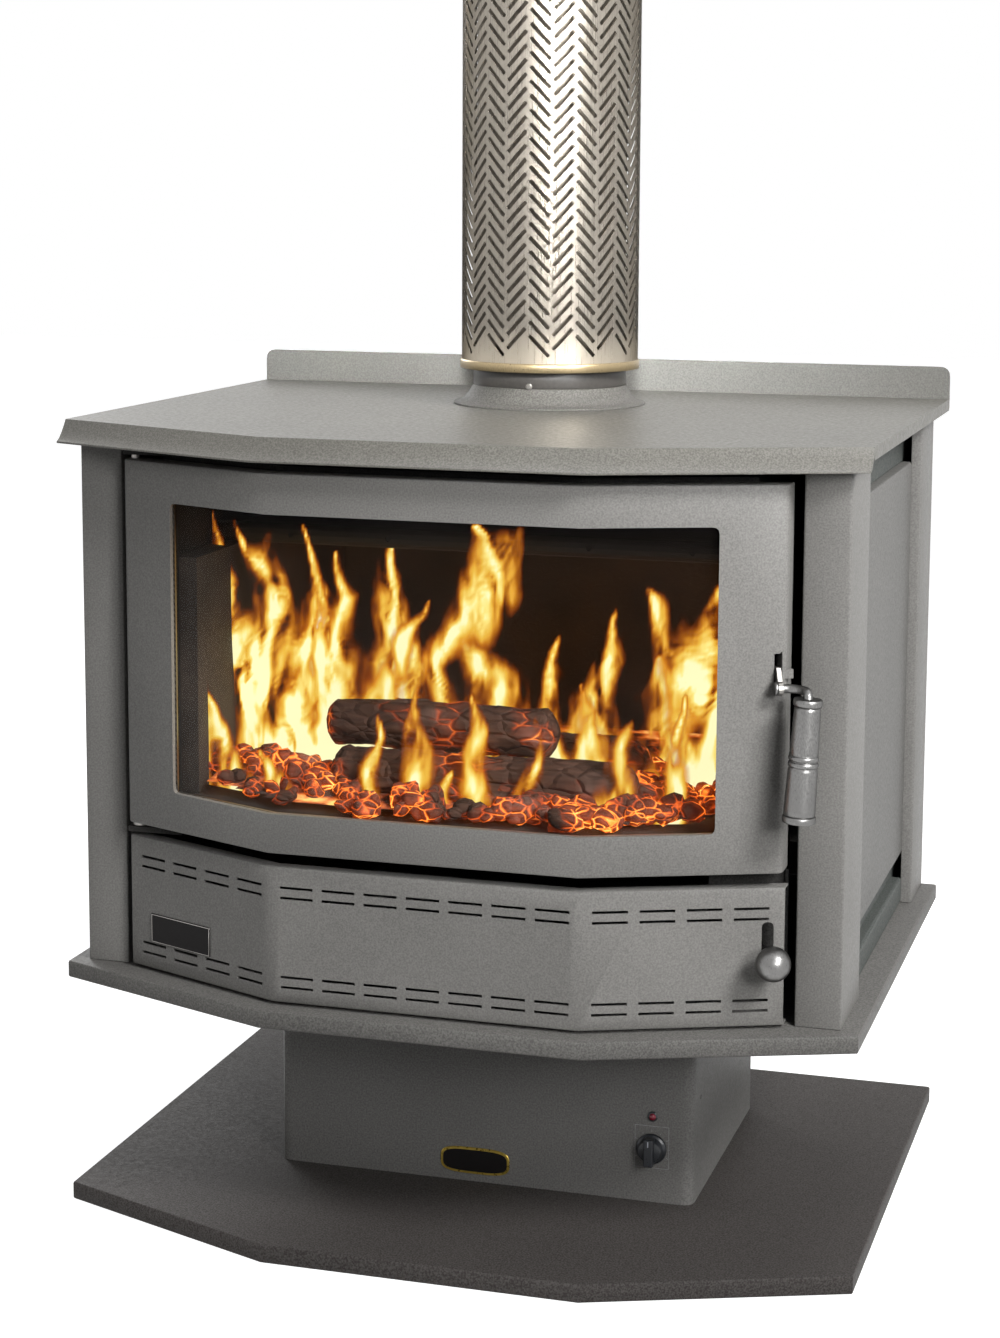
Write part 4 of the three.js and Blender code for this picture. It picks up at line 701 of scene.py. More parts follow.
# CAD pieces that keep their mesh, by finish
KEPT = [
    (charcoal, ["rear_panel"]),
    (shield_paint, ["side_shield_right", "side_shield_left"]),
    (pedestal_paint, ["pedestal_rear_cover"]),
    (heat_black, [
        "firebox_shell", "firebox_leg_right", "firebox_leg_left", "secondary_air_tube",
        "hinge_bracket_lower", "hinge_bracket_upper", "air_slide", "air_guide",
    ]),
    (plain_steel, [
        "fan_scroll", "fan_wheel", "fan_motor", "fan_bracket", "hinge_pin_lower", "hinge_pin_upper",
        "glass_retainer", "latch_bracket", "latch_hook", "casing_spacer_lower", "casing_spacer_upper",
    ]),
    (black_moulding, ["cable_gland", "speed_switch"]),
    (brassy, ["latch_catch"]),
    (board, ["hearth_brick", "side_brick_right", "side_brick_left", "rear_brick", "baffle_plate"]),
    (rope, ["glass_gasket", "door_rope_seal"]),
    (glass, ["door_glass"]),
]
for finish, kept_names in KEPT:
    for kept in kept_names:
        kept_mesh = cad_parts[kept].data
        kept_mesh.materials.clear()
        kept_mesh.materials.append(finish)

# CAD pieces whose edges are rounded: body, finish, slot and width of the rounding
ROUNDED = {
    "front_post_right": (ROOT, charcoal, "charcoal_paint", 0.0007),
    "front_post_left": (ROOT, charcoal, "charcoal_paint", 0.0007),
    "rear_post_right": (ROOT, charcoal, "charcoal_paint", 0.0007),
    "rear_post_left": (ROOT, charcoal, "charcoal_paint", 0.0007),
    "side_panel_right": (ROOT, shaded_side_paint, "charcoal_paint", 0.0007),
    "side_panel_left": (ROOT, shaded_side_paint, "charcoal_paint", 0.0007),
    "hearth_tray": (ROOT, tray_paint, "charcoal_paint", 0.0007),
    "pedestal_shell": (ROOT, pedestal_paint, "charcoal_paint", 0.0007),
    "lower_panel": (ROOT, charcoal, "charcoal_paint", 0.0005, False),
    "base_plate": (ROOT, base_paint, "dark_paint", 0.0008),
    "top_plate": (ROOT, lid_paint, "top_paint", 0.0009),
    "splashback": (ROOT, splash_paint_with_reflection, "top_paint", 0.0006),
    "door_frame": ("door", charcoal, "charcoal_paint", 0.0009),
}
for rounded, settings in ROUNDED.items():
    soften(rounded, *settings)


# Flue


def flue_place(height=0.0):
    return Matrix.Translation((0, FLUE_Y, height))


def crease(piece, angle=35):
    """Keeps the flat faces of a piece flat beside its smooth ones."""
    form = bmesh.new()
    form.from_mesh(piece.data)
    for edge in form.edges:
        edge.smooth = len(edge.link_faces) == 2 and edge.calc_face_angle() < math.radians(angle)
    form.to_mesh(piece.data)
    form.free()


def casing_mesh():
    """Columns of slanted slots, a herringbone, rolled into a tube with plain edges above and below."""
    width = 2 * math.pi * CASING_RADIUS / CASING_COLUMNS
    slope = math.tan(SLOT_ANGLE)
    half = SLOT_PITCH / 2
    form = bmesh.new()

    def vertex(column, along, height):
        angle = CASING_TURN + (column * width + along) / CASING_RADIUS
        return form.verts.new((
            CASING_RADIUS * math.cos(angle), CASING_RADIUS * math.sin(angle), height,
        ))

    stations = [width * share / 4 for share in range(5)]
    run = SLOT_HALF_LENGTH * SLOT_STRAIGHT
    reach = [run * share / 2 for share in range(-2, 3)]
    for column in range(CASING_COLUMNS):
        rising = column % 2 == 0
        lean = 1 if rising else -1
        lowest = SLOT_MARGIN + (half if rising else 0)
        rows = int((CASING_HEIGHT - SLOT_MARGIN - lowest) / SLOT_PITCH + 0.01) + 1
        cosine = math.cos(SLOT_ANGLE)
        sine = lean * math.sin(SLOT_ANGLE)
        for row in range(rows):
            centre = lowest + row * SLOT_PITCH

            def edge(along, shift):
                return vertex(column, along, centre + lean * (along - width / 2) * slope + shift)

            def hole(along, aside):
                return vertex(
                    column, width / 2 + along * cosine - aside * sine,
                    centre + along * sine + aside * cosine,
                )

            outer = [edge(along, -half) for along in stations] + [edge(width, 0)]
            outer += [edge(along, half) for along in reversed(stations)] + [edge(0, 0)]
            inner = [hole(along, -SLOT_HALF_WIDTH) for along in reach] + [hole(SLOT_HALF_LENGTH, 0)]
            inner += [hole(along, SLOT_HALF_WIDTH) for along in reversed(reach)]
            inner += [hole(-SLOT_HALF_LENGTH, 0)]
            for index in range(len(outer)):
                after = (index + 1) % len(outer)
                form.faces.new((outer[index], outer[after], inner[after], inner[index]))
        for limit, centre, side in ((0, lowest, -1), (CASING_HEIGHT, lowest + (rows - 1) * SLOT_PITCH, 1)):
            for index in range(4):
                corners = []
                for along in (stations[index], stations[index + 1]):
                    height = centre + lean * (along - width / 2) * slope + side * half
                    corners.append((along, limit))
                    corners.append((along, height))
                    if rising and along in (stations[0], stations[-1]):
                        corners.append((along, height + side * half))
                corners.sort(key=lambda spot: (spot[0], spot[1] * (1 if spot[0] == stations[index] else -1)))
                face = [vertex(column, *spot) for spot in corners]
                form.faces.new(list(reversed(face)))
    bmesh.ops.remove_doubles(form, verts=form.verts, dist=SLOT_WELD)
    bmesh.ops.recalc_face_normals(form, faces=form.faces)
    mesh = bpy.data.meshes.new("herringbone_casing")
    form.to_mesh(mesh)
    form.free()
    mesh.transform(flue_place(CASING_LOW))
    return mesh


casing = make_piece(
    "herringbone_casing", casing_mesh(), ROOT, stainless, ["perforated_casing"],
)
wall = casing.modifiers.new("wall", "SOLIDIFY")
wall.thickness = CASING_WALL
wall.offset = -1
casing.data = bpy.data.meshes.new_from_object(
    casing.evaluated_get(bpy.context.evaluated_depsgraph_get()),
)
casing.modifiers.clear()
crease(casing)

band_inner = CASING_RADIUS + SEAT
band_outer = band_inner + BAND_WALL
band_outline = [(band_inner, 0)]
band_outline += [(band_outer - inset, height) for inset, height in BAND_FOOT]
band_outline += [(band_outer - inset, BAND_HEIGHT - drop) for inset, drop in BAND_LIP]
band_outline.append((band_inner, BAND_HEIGHT))
make_piece(
    "rolled_band", lathe("rolled_band", band_outline, closed=True, place=flue_place(CASING_LOW)),
    ROOT, band_brass, ["casing_band"],
)
pipe_outline = [
    (FLUE_RADIUS - FLUE_WALL, FLUE_LOW), (FLUE_RADIUS, FLUE_LOW), (FLUE_RADIUS, FLUE_TOP),
    (FLUE_RADIUS - FLUE_WALL, FLUE_TOP),
]
crease(make_piece(
    "round_pipe", lathe("round_pipe", pipe_outline, closed=True, place=flue_place()),
    ROOT, pipe_steel, ["flue_pipe"],
))
bore = FLUE_RADIUS + SEAT
cone_outline = [(bore, SEAT)] + [(CONE_RADIUS - inset, height) for inset, height in CONE_BRIM]
for step in range(CONE_STEPS + 1):
    share = step / CONE_STEPS
    cone_outline.append((
        mix(CONE_RADIUS - CONE_FLARE_INSET, COLLAR_RADIUS, share ** CONE_INWARD),
        mix(CONE_FLARE_FOOT, CONE_RISE, share ** CONE_UPWARD),
    ))
cone_outline.append((bore, CONE_RISE))
crease(make_piece(
    "spun_cone", lathe("spun_cone", cone_outline, closed=True, place=flue_place(LID_TOP)),
    ROOT, cone_paint, ["flue_cone"],
))
collar_outline = [
    (bore, CONE_RISE + SEAT), (COLLAR_RADIUS - SEAT, CONE_RISE + SEAT),
    (COLLAR_RADIUS, CONE_RISE + COLLAR_EDGE), (COLLAR_RADIUS, COLLAR_TOP - COLLAR_EDGE),
    (COLLAR_RADIUS - COLLAR_INSET, COLLAR_TOP), (bore, COLLAR_TOP),
]
crease(make_piece(
    "round_collar", lathe("round_collar", collar_outline, closed=True, place=flue_place(LID_TOP)),
    ROOT, collar_black, ["flue_collar"],
))


# Latch handle


def latch_place():
    return Matrix.Translation(LATCH_PIVOT) @ Matrix.Rotation(BAY_ANGLE, 4, "Z")


def in_grip(distance):
    """A point on the axis of the grip, the given distance below its top, in the latch's own frame."""
    return Vector((
        GRIP_SHIFT - distance * math.sin(GRIP_LEAN), ROD_LINE - GRIP_OUT,
        ROD_DROP - GRIP_DROP - distance * math.cos(GRIP_LEAN),
    ))


def rod_mesh():
    knots = [Vector((ROD_START, ROD_LINE, ROD_DROP))]
    for right, out, down in ROD_SHARES:
        knots.append(Vector((right * GRIP_SHIFT, ROD_LINE - out * GRIP_OUT, ROD_DROP - down * GRIP_SOCKET)))
    knots += [in_grip(share * GRIP_SOCKET) for share in (0.18, 1.0, 1.96)]
    mesh = tube_along("bent_rod", smooth_path(knots), ROD_RADIUS, 28)
    mesh.transform(latch_place())
    return mesh


def round_over(radius, height, rounding):
    """The outline of a disc with rounded rims, from its foot to its top."""
    rim = radius - rounding
    turns = [math.pi / 2 * step / 4 for step in range(5)]
    outline = [(rim + rounding * math.sin(turn), rounding - rounding * math.cos(turn)) for turn in turns]
    crown = height - rounding
    return outline + [(rim + rounding * math.cos(turn), crown + rounding * math.sin(turn)) for turn in turns]


def grip_mesh():
    """A turned grip: a collar, a tapered barrel with a double bead at its middle, and an end flange."""
    def barrel(share, extra=0.0):
        return (mix(GRIP_TOP_RADIUS, GRIP_END_RADIUS, share) + extra, -share * GRIP_LENGTH)

    def hoop(radius, top):
        half = GRIP_RING / 2
        return [
            (radius - GRIP_GROOVE + GRIP_GROOVE * math.cos(angle), top - half + half * 0.92 * math.sin(angle))
            for angle in [math.pi / 2 - math.pi * step / 10 for step in range(11)]
        ]

    outline = [(GRIP_BORE, 0.0)] + [(GRIP_TOP_RADIUS - inset, height) for inset, height in GRIP_TOP_EDGE]
    outline += hoop(GRIP_RING_RADIUS, 0.0)
    ring_share = GRIP_RING / GRIP_LENGTH
    outline += [barrel(ring_share + 0.008, -GRIP_SUNK), barrel(ring_share + 0.02, -GRIP_SLIGHT)]
    outline += [barrel(mix(0.09, 0.43, step / 8)) for step in range(9)]
    for centre in (0.475, 0.525):
        outline.append(barrel(centre - 0.026, -BEAD_SUNK))
        for step in range(9):
            angle = math.pi * step / 8
            swell = BEAD_RISE * math.sin(angle) - BEAD_FOOT
            outline.append(barrel(centre - 0.021 * math.cos(angle), swell))
    outline += [barrel(0.551, -BEAD_SUNK), barrel(0.565)]
    outline += [barrel(mix(0.58, 1 - ring_share - 0.012, step / 8)) for step in range(9)]
    outline.append(barrel(1 - ring_share - 0.002, -GRIP_SUNK))
    outline += hoop(GRIP_FLANGE_RADIUS, GRIP_RING - GRIP_LENGTH)
    outline += [(GRIP_END_RADIUS - GRIP_END_INSET, -GRIP_LENGTH), (GRIP_END_BORE, -GRIP_LENGTH)]
    mesh = lathe("turned_grip", outline, steps=64, closed=True)
    mesh.transform(latch_place() @ Matrix.Translation(in_grip(0)) @ Matrix.Rotation(GRIP_LEAN, 4, "Y"))
    return mesh


crease(make_piece("bent_rod", rod_mesh(), "latch_handle", pewter, ["latch_rod"]), 50)
crease(make_piece("turned_grip", grip_mesh(), "latch_handle", pewter, ["handle_grip"]), 60)
rod_cap = lathe("rod_cap", round_over(CAP_RADIUS, CAP_HEIGHT, CAP_HEIGHT / 3), steps=40)
rod_cap.transform(
    latch_place() @ Matrix.Translation((ROD_START, ROD_LINE, ROD_DROP))
    @ Matrix.Rotation(-math.pi / 2, 4, "Y")
)
make_piece("rod_cap", rod_cap, "latch_handle", pewter)


# Air control knob


def facet_place(x, y, z):
    """A frame on the right facet: local -Y points out of it."""
    return Matrix.Translation((x, y, z)) @ Matrix.Rotation(BAY_ANGLE, 4, "Z")


def outward(place):
    """Turns a shape made about +Z so that its top faces local -Y."""
    return place @ Matrix.Rotation(math.pi / 2, 4, "X")


def ball_mesh():
    """A ball knob on a short neck, about +Z from the face of the panel."""
    start = math.asin(AIR_NECK_MOUTH / AIR_KNOB_RADIUS)
    outline = AIR_NECK + [(AIR_NECK_RADIUS, AIR_KNOB_REACH - AIR_KNOB_RADIUS - AIR_NECK_GAP)]
    for step in range(25):
        angle = mix(start, math.pi - 0.02, step / 24)
        outline.append((
            AIR_KNOB_RADIUS * math.sin(angle), AIR_KNOB_REACH - AIR_KNOB_RADIUS * math.cos(angle),
        ))
    return lathe("ball_knob", outline, steps=64, place=outward(facet_place(*AIR_KNOB_FOOT)))


make_piece("ball_knob", ball_mesh(), "air_control", pewter, ["air_control_knob"])


# Fan speed control and lamp


def front_place(x, z):
    return outward(Matrix.Translation((x, PEDESTAL_FRONT, z)))


def block(name, low, high, rounding, body, material, slot, place):
    """A box with rounded edges."""
    form = bmesh.new()
    bmesh.ops.create_cube(form, size=1.0)
    for vert in form.verts:
        vert.co = Vector((mix(a, b, share + 0.5) for a, b, share in zip(low, high, vert.co)))
    mesh = bpy.data.meshes.new(name)
    form.to_mesh(mesh)
    form.free()
    mesh.transform(place)
    piece = make_piece(name, mesh, body, material)
    modifier = piece.modifiers.new("rounding", "BEVEL")
    modifier.width = rounding
    modifier.segments = 3
    modifier.limit_method = "ANGLE"
    modifier.harden_normals = True


knob_outline = [(0.0, KNOB_STEPS[0][1])]
knob_outline += [(KNOB_RADIUS - inset, height) for inset, height in KNOB_STEPS]
knob_outline.append((0.0, KNOB_STEPS[-1][1]))
crease(make_piece(
    "knob_body", lathe("knob_body", knob_outline, steps=64, place=front_place(KNOB_X, KNOB_Z)),
    "speed_knob", black_moulding, ["fan_speed_knob"],
), 40)
knob_turn = front_place(KNOB_X, KNOB_Z) @ Matrix.Rotation(math.pi / 2, 4, "Z")
grip_reach = KNOB_RADIUS - KNOB_GRIP_INSET
block(
    "knob_grip", (-grip_reach, -KNOB_GRIP_HALF, KNOB_GRIP_FOOT), (grip_reach, KNOB_GRIP_HALF, KNOB_GRIP_TOP),
    KNOB_GRIP_ROUND, "speed_knob", black_moulding, "black_plastic", knob_turn,
)
block(
    "knob_mark", (KNOB_MARK_START, -KNOB_MARK_HALF, KNOB_GRIP_TOP - KNOB_MARK_DEPTH),
    (KNOB_MARK_END, KNOB_MARK_HALF, KNOB_GRIP_TOP + KNOB_MARK_DEPTH), KNOB_MARK_ROUND,
    "speed_knob", pale_mark, "black_plastic", knob_turn,
)


def frame_mesh(name, left, right, low, high, line, lift, place):
    """A thin raised line round an oblong: print on the paint, or the border of a plate."""
    corners = [(left, low), (right, low), (right, high), (left, high)]
    inner = [
        (left + line, low + line), (right - line, low + line),
        (right - line, high - line), (left + line, high - line),
    ]
    points = [(x, y, height) for height in (0.0, lift) for x, y in corners + inner]
    faces = []
    for index in range(4):
        after = (index + 1) % 4
        faces.append((8 + index, 8 + after, 12 + after, 12 + index))
        faces.append((index, 4 + index, 4 + after, after))
        faces.append((index, after, 8 + after, 8 + index))
        faces.append((4 + index, 12 + index, 12 + after, 4 + after))
    mesh = facing_out(mesh_of(name, points, faces))
    mesh.transform(place)
    return mesh


dial_place = front_place(KNOB_X, KNOB_Z)
make_piece("dial_line", frame_mesh(
    "dial_line", DIAL_LEFT, DIAL_RIGHT, DIAL_LOW, DIAL_HIGH, PRINT_LINE, PRINT_LIFT, dial_place,
), ROOT, print_ink)
ticks = bmesh.new()
for tick in range(TICK_COUNT):
    angle = math.radians(mix(TICK_FIRST, TICK_LAST, tick / (TICK_COUNT - 1)))
    low = KNOB_RADIUS + TICK_GAP
    high = low + (TICK_LONG if tick % 2 == 0 else TICK_SHORT)
    bar = bmesh.ops.create_cube(ticks, size=1.0)["verts"]
    for vert in bar:
        vert.co = Vector((
            mix(low, high, vert.co.x + 0.5), vert.co.y * PRINT_LINE, (0.5 + vert.co.z) * PRINT_LIFT,
        ))
    bmesh.ops.transform(ticks, matrix=Matrix.Rotation(angle, 4, "Z"), verts=bar)
tick_mesh = bpy.data.meshes.new("dial_ticks")
ticks.to_mesh(tick_mesh)
ticks.free()
tick_mesh.transform(dial_place)
make_piece("dial_ticks", tick_mesh, ROOT, print_ink, smooth=False)

lamp_place = front_place(LAMP_X, LAMP_Z)
lens_turns = [math.pi / 2 * step / 8 for step in range(8)]
lens_outline = [
    (LENS_RADIUS * math.cos(turn), LENS_FOOT + LENS_DOME * math.sin(turn)) for turn in lens_turns
]
lens_outline.append((LENS_TIP, LENS_FOOT + LENS_DOME))
lens = lathe("lamp_lens", lens_outline, steps=40, place=lamp_place)
make_piece("lamp_lens", lens, ROOT, lamp_red, ["indicator_lamp"])
bezel_outline = [(LENS_RADIUS, SEAT)]
bezel_outline += [(BEZEL_RADIUS - inset, height) for inset, height in BEZEL_RIM]
bezel_outline.append((LENS_RADIUS, BEZEL_TOP))
bezel = lathe("lamp_bezel", bezel_outline, steps=40, closed=True, place=lamp_place)
crease(make_piece("lamp_bezel", bezel, ROOT, black_moulding), 40)
tube_outline = [(LENS_RADIUS - inset, height) for inset, height in LAMP_TUBE]
lamp_tube = lathe("lamp_barrel", tube_outline, steps=24, place=lamp_place)
make_piece("lamp_barrel", lamp_tube, ROOT, black_moulding)


# Bare plates


def left_facet_place(share, z):
    """A frame on the left facet of the lower panel, a share of the way from its corner; +Z points out."""
    along = share * FACET_RUN
    place = Matrix.Translation((
        -PANEL_CORNER_X - along * math.cos(BAY_ANGLE), PANEL_CORNER_Y + along * math.sin(BAY_ANGLE), z,
    ))
    return outward(place @ Matrix.Rotation(-BAY_ANGLE, 4, "Z"))


plate_place = left_facet_place(PLATE_SHARE, PLATE_Z)
block(
    "panel_plate", (-PLATE_HALF, -PLATE_RISE, PLATE_FOOT), (PLATE_HALF, PLATE_RISE, PLATE_TOP),
    PLATE_ROUND, ROOT, plate_black, "black_plastic", plate_place,
)
border_half = PLATE_HALF - PLATE_BORDER
border_rise = PLATE_RISE - PLATE_BORDER
make_piece("panel_plate_border", frame_mesh(
    "panel_plate_border", -border_half, border_half, -border_rise, border_rise,
    PLATE_BORDER, PLATE_BORDER_TOP, plate_place,
), ROOT, plain_steel)
badge_place = front_place((BADGE_LEFT + BADGE_RIGHT) / 2, (BADGE_LOW + BADGE_HIGH) / 2)
half_wide = (BADGE_RIGHT - BADGE_LEFT) / 2
half_high = (BADGE_HIGH - BADGE_LOW) / 2


def oval_outline(wide, high):
    """The outline of a soft oblong plate, between an oval and a rectangle."""
    points = []
    for step in range(BADGE_STEPS):
        angle = 2 * math.pi * step / BADGE_STEPS
        cosine = math.cos(angle)
        sine = math.sin(angle)
        points.append((
            wide * math.copysign(abs(cosine) ** BADGE_BULGE, cosine),
            high * math.copysign(abs(sine) ** BADGE_BULGE, sine),
        ))
    return points


def plate_mesh(name, wide, high, low, top, edge, place):
    """A flat plate with a sloped edge and the soft oblong outline."""
    rings = [(wide, high, low), (wide, high, top - edge), (wide - edge, high - edge, top)]
    points = []
    for ring_wide, ring_high, height in rings:
        points += [(x, y, height) for x, y in oval_outline(ring_wide, ring_high)]
    mesh = facing_out(mesh_of(name, points, ring_faces(len(rings), BADGE_STEPS)))
    mesh.transform(place)
    return mesh


rim_mesh = plate_mesh("pedestal_plate_rim", half_wide, half_high, *BADGE_RIM, badge_place)
crease(make_piece("pedestal_plate_rim", rim_mesh, ROOT, gold_rim))
badge_mesh = plate_mesh(
    "pedestal_plate", half_wide - BADGE_INSET, half_high - BADGE_INSET, *BADGE_FIELD, badge_place,
)
crease(make_piece("pedestal_plate", badge_mesh, ROOT, plate_black))


# Pressed hoods over the rear vents


def hood_mesh():
    """Hoods that are pressed out of the rear panel over its vents and open downward."""
    points = []
    faces = []
    half = VENT_LENGTH / 2
    stations = [(-half - past, share) for past, share in HOOD_ENDS]
    stations += [(half + past, share) for past, share in reversed(HOOD_ENDS)]
    for middle in VENT_HEIGHTS:
        for index in range(VENT_COUNT):
            centre = (index - (VENT_COUNT - 1) / 2) * VENT_PITCH
            first = len(points)
            for along, share in stations:
                for out, up in HOOD_PROFILE:
                    points.append((centre + along, REAR_PANEL_BACK + HOOD_LIFT + out * share, middle + up))
            width = len(HOOD_PROFILE)
            for station in range(len(stations) - 1):
                for row in range(width - 1):
                    low = first + station * width + row
                    faces.append((low, low + 1, low + width + 1, low + width))
    return facing_out(mesh_of("vent_hoods", points, faces))


hoods = make_piece("vent_hoods", hood_mesh(), ROOT, charcoal)
hood_wall = hoods.modifiers.new("wall", "SOLIDIFY")
hood_wall.thickness = HOOD_WALL
hood_wall.offset = 0


# Screws and the collar's rivet


def screw(name, place, radius, height, material):
    """A domed head with a round recess in its middle, for a screw or a blind rivet."""
    outline = [(radius, 0.0)]
    for step in range(7):
        angle = math.pi / 2 * step / 6
        outline.append((radius * (0.62 + 0.38 * math.cos(angle)), height * (0.25 + 0.75 * math.sin(angle))))
    outline += [(radius * 0.34, height), (radius * 0.24, height * 0.45), (SCREW_CENTRE, height * 0.42)]
    crease(make_piece(name, lathe(name, outline, steps=28, place=place), ROOT, material), 50)


def back_place(x, y, z):
    """A frame on a face that looks to the back: +Z points along +Y."""
    return Matrix.Translation((x, y, z)) @ Matrix.Rotation(-math.pi / 2, 4, "X")


for side, side_name in ((-1, "left"), (1, "right")):
    for line, (across, face, radius, heights) in SCREW_LINES.items():
        for index, height in enumerate(heights):
            screw(
                f"{line}_{side_name}_{index + 1}", back_place(side * across, face, height),
                radius, SCREW_RISE, heat_black,
            )
rivet_place = Matrix.Translation((0, FLUE_Y, RIVET_HEIGHT)) @ Matrix.Rotation(RIVET_TURN, 4, "Z") @ (
    Matrix.Translation((COLLAR_RADIUS - RIVET_SINK, 0, 0)) @ Matrix.Rotation(math.pi / 2, 4, "Y")
)
screw("collar_rivet", rivet_place, RIVET_RADIUS, RIVET_RISE, plain_steel)


# Fire

noise.seed_set(FIRE_SEED)


def log_mesh(name, start, end, radius, seed):
    """A burnt split log: lumpy along its length, with a broken bark of square blocks and ragged ends."""
    along = (end - start).normalized()
    side = along.orthogonal().normalized()
    across = along.cross(side)
    length = (end - start).length
    points = []
    for step in range(LOG_STEPS + 1):
        share = step / LOG_STEPS
        centre = start + (end - start) * share
        tip = min(share, 1 - share) * length
        rounding = min(1.0, math.sqrt(max(tip, 0.0) / (radius * 0.5) + 0.02))
        for turn in range(LOG_SIDES):
            angle = 2 * math.pi * turn / LOG_SIDES
            out = math.cos(angle) * side + math.sin(angle) * across
            spot = centre + out * radius
            lump = noise.noise(spot * 16 + Vector((seed, 0, 0)))
            block = noise.cell(Vector((share * length * 62, angle * 2.9, seed)) + Vector((lump, lump, 0)))
            grain = noise.noise(Vector((share * length * 30, angle * 6, seed)))
            reach = radius * rounding * (0.93 + 0.09 * lump + 0.05 * grain - 0.07 * block)
            points.append(centre + out * min(reach, radius))
    return facing_out(mesh_of(name, points, ring_faces(LOG_STEPS + 1, LOG_SIDES)))


LOGS = {
    "firewood_front": (Vector((-0.125, -0.180, 0.4406)), Vector((0.175, -0.180, 0.4406)), 0.027),
    "firewood_rear": (Vector((-0.170, -0.108, 0.4456)), Vector((0.170, -0.108, 0.4456)), 0.032),
    "firewood_top": (Vector((-0.140, -0.1506, 0.4839)), Vector((0.090, -0.1506, 0.4839)), 0.025),
}
for seed, (log_name, (start, end, radius)) in enumerate(LOGS.items()):
    make_piece(
        "burnt_" + log_name, log_mesh("burnt_" + log_name, start, end, radius, seed * 7.3 + 1.7),
        ROOT, wood_coal, [log_name],
    )


def bed_height(x, y):
    """How high the ash and coals lie on the hearth, highest round the logs."""
    middle = math.exp(-((y - HEAP_MIDDLE) / HEAP_SPREAD) ** 2)
    ripple = noise.noise(Vector((x * 14, y * 14, 3.1)))
    return HEARTH_TOP + ASH_DEPTH + HEAP_RISE * middle + HEAP_RIPPLE * ripple * middle


def inside_hearth(x, y):
    """Whether a place on the hearth lies behind the bay front and between the side bricks."""
    front = BED_FRONT + max(abs(x) - BAY_SHOULDER, 0) * math.tan(BAY_ANGLE)
    return y > front and y < BED_BACK and abs(x) < (BED_SIDE if y > BRICK_FRONT else BED_WIDE)


def ember_bed():
    """Hundreds of broken coals heaped on the hearth."""
    chance = random.Random(FIRE_SEED)
    form = bmesh.new()
    placed = 0
    while placed < EMBER_COUNT:
        x = chance.uniform(-BED_WIDE, BED_WIDE)
        y = chance.uniform(BED_FRONT, EMBER_BACK)
        if not inside_hearth(x, y):
            continue
        placed += 1
        size = chance.uniform(*EMBER_SIZES) * (1.25 if y < -0.1 else 1.0)
        spin = Matrix.Rotation(chance.uniform(0, 6.28), 4, Vector((
            chance.uniform(-1, 1), chance.uniform(-1, 1), chance.uniform(-1, 1),
        )).normalized())
        stretch = Matrix.Diagonal((
            chance.uniform(0.9, 1.5), chance.uniform(0.7, 1.1), chance.uniform(0.6, 0.9), 1,
        ))
        lump = bmesh.ops.create_icosphere(form, subdivisions=2, radius=1.0)["verts"]
        shift = Vector((chance.uniform(0, 50), 0, 0))
        for vert in lump:
            swell = noise.noise(vert.co * 1.4 + shift)
            vert.co *= 1 + 0.22 * swell - 0.12 * noise.cell(vert.co * 1.6 + shift)
        base = Vector((x, y, bed_height(x, y) + size * chance.uniform(0.1, 0.55)))
        place = Matrix.Translation(base) @ spin @ stretch @ Matrix.Scale(size, 4)
        bmesh.ops.transform(form, matrix=place, verts=lump)
        for vert in lump:
            vert.co.z = max(vert.co.z, HEARTH_TOP)
    mesh = bpy.data.meshes.new("ember_bed")
    form.to_mesh(mesh)
    form.free()
    return mesh


def ash_layer():
    """The soft ground of ash under the coals, thickest round the logs."""
    columns = int(2 * BED_WIDE / ASH_CELL)
    rows = int((BED_BACK - BED_FRONT) / ASH_CELL)
    points = []
    kept = {}
    for row in range(rows + 1):
        for column in range(columns + 1):
            x = -BED_WIDE + column * ASH_CELL
            y = BED_FRONT + row * ASH_CELL
            if inside_hearth(x, y):
                kept[row, column] = len(points)
                points.append((x, y, bed_height(x, y)))
    faces = []
    for row, column in kept:
        ring = [(row, column), (row, column + 1), (row + 1, column + 1), (row + 1, column)]
        if all(corner in kept for corner in ring):
            faces.append([kept[corner] for corner in ring])
    return mesh_of("ash_layer", points, faces)


make_piece("ember_bed", ember_bed(), ROOT, ember_coal)
make_piece("ash_layer", ash_layer(), ROOT, ash_matter)


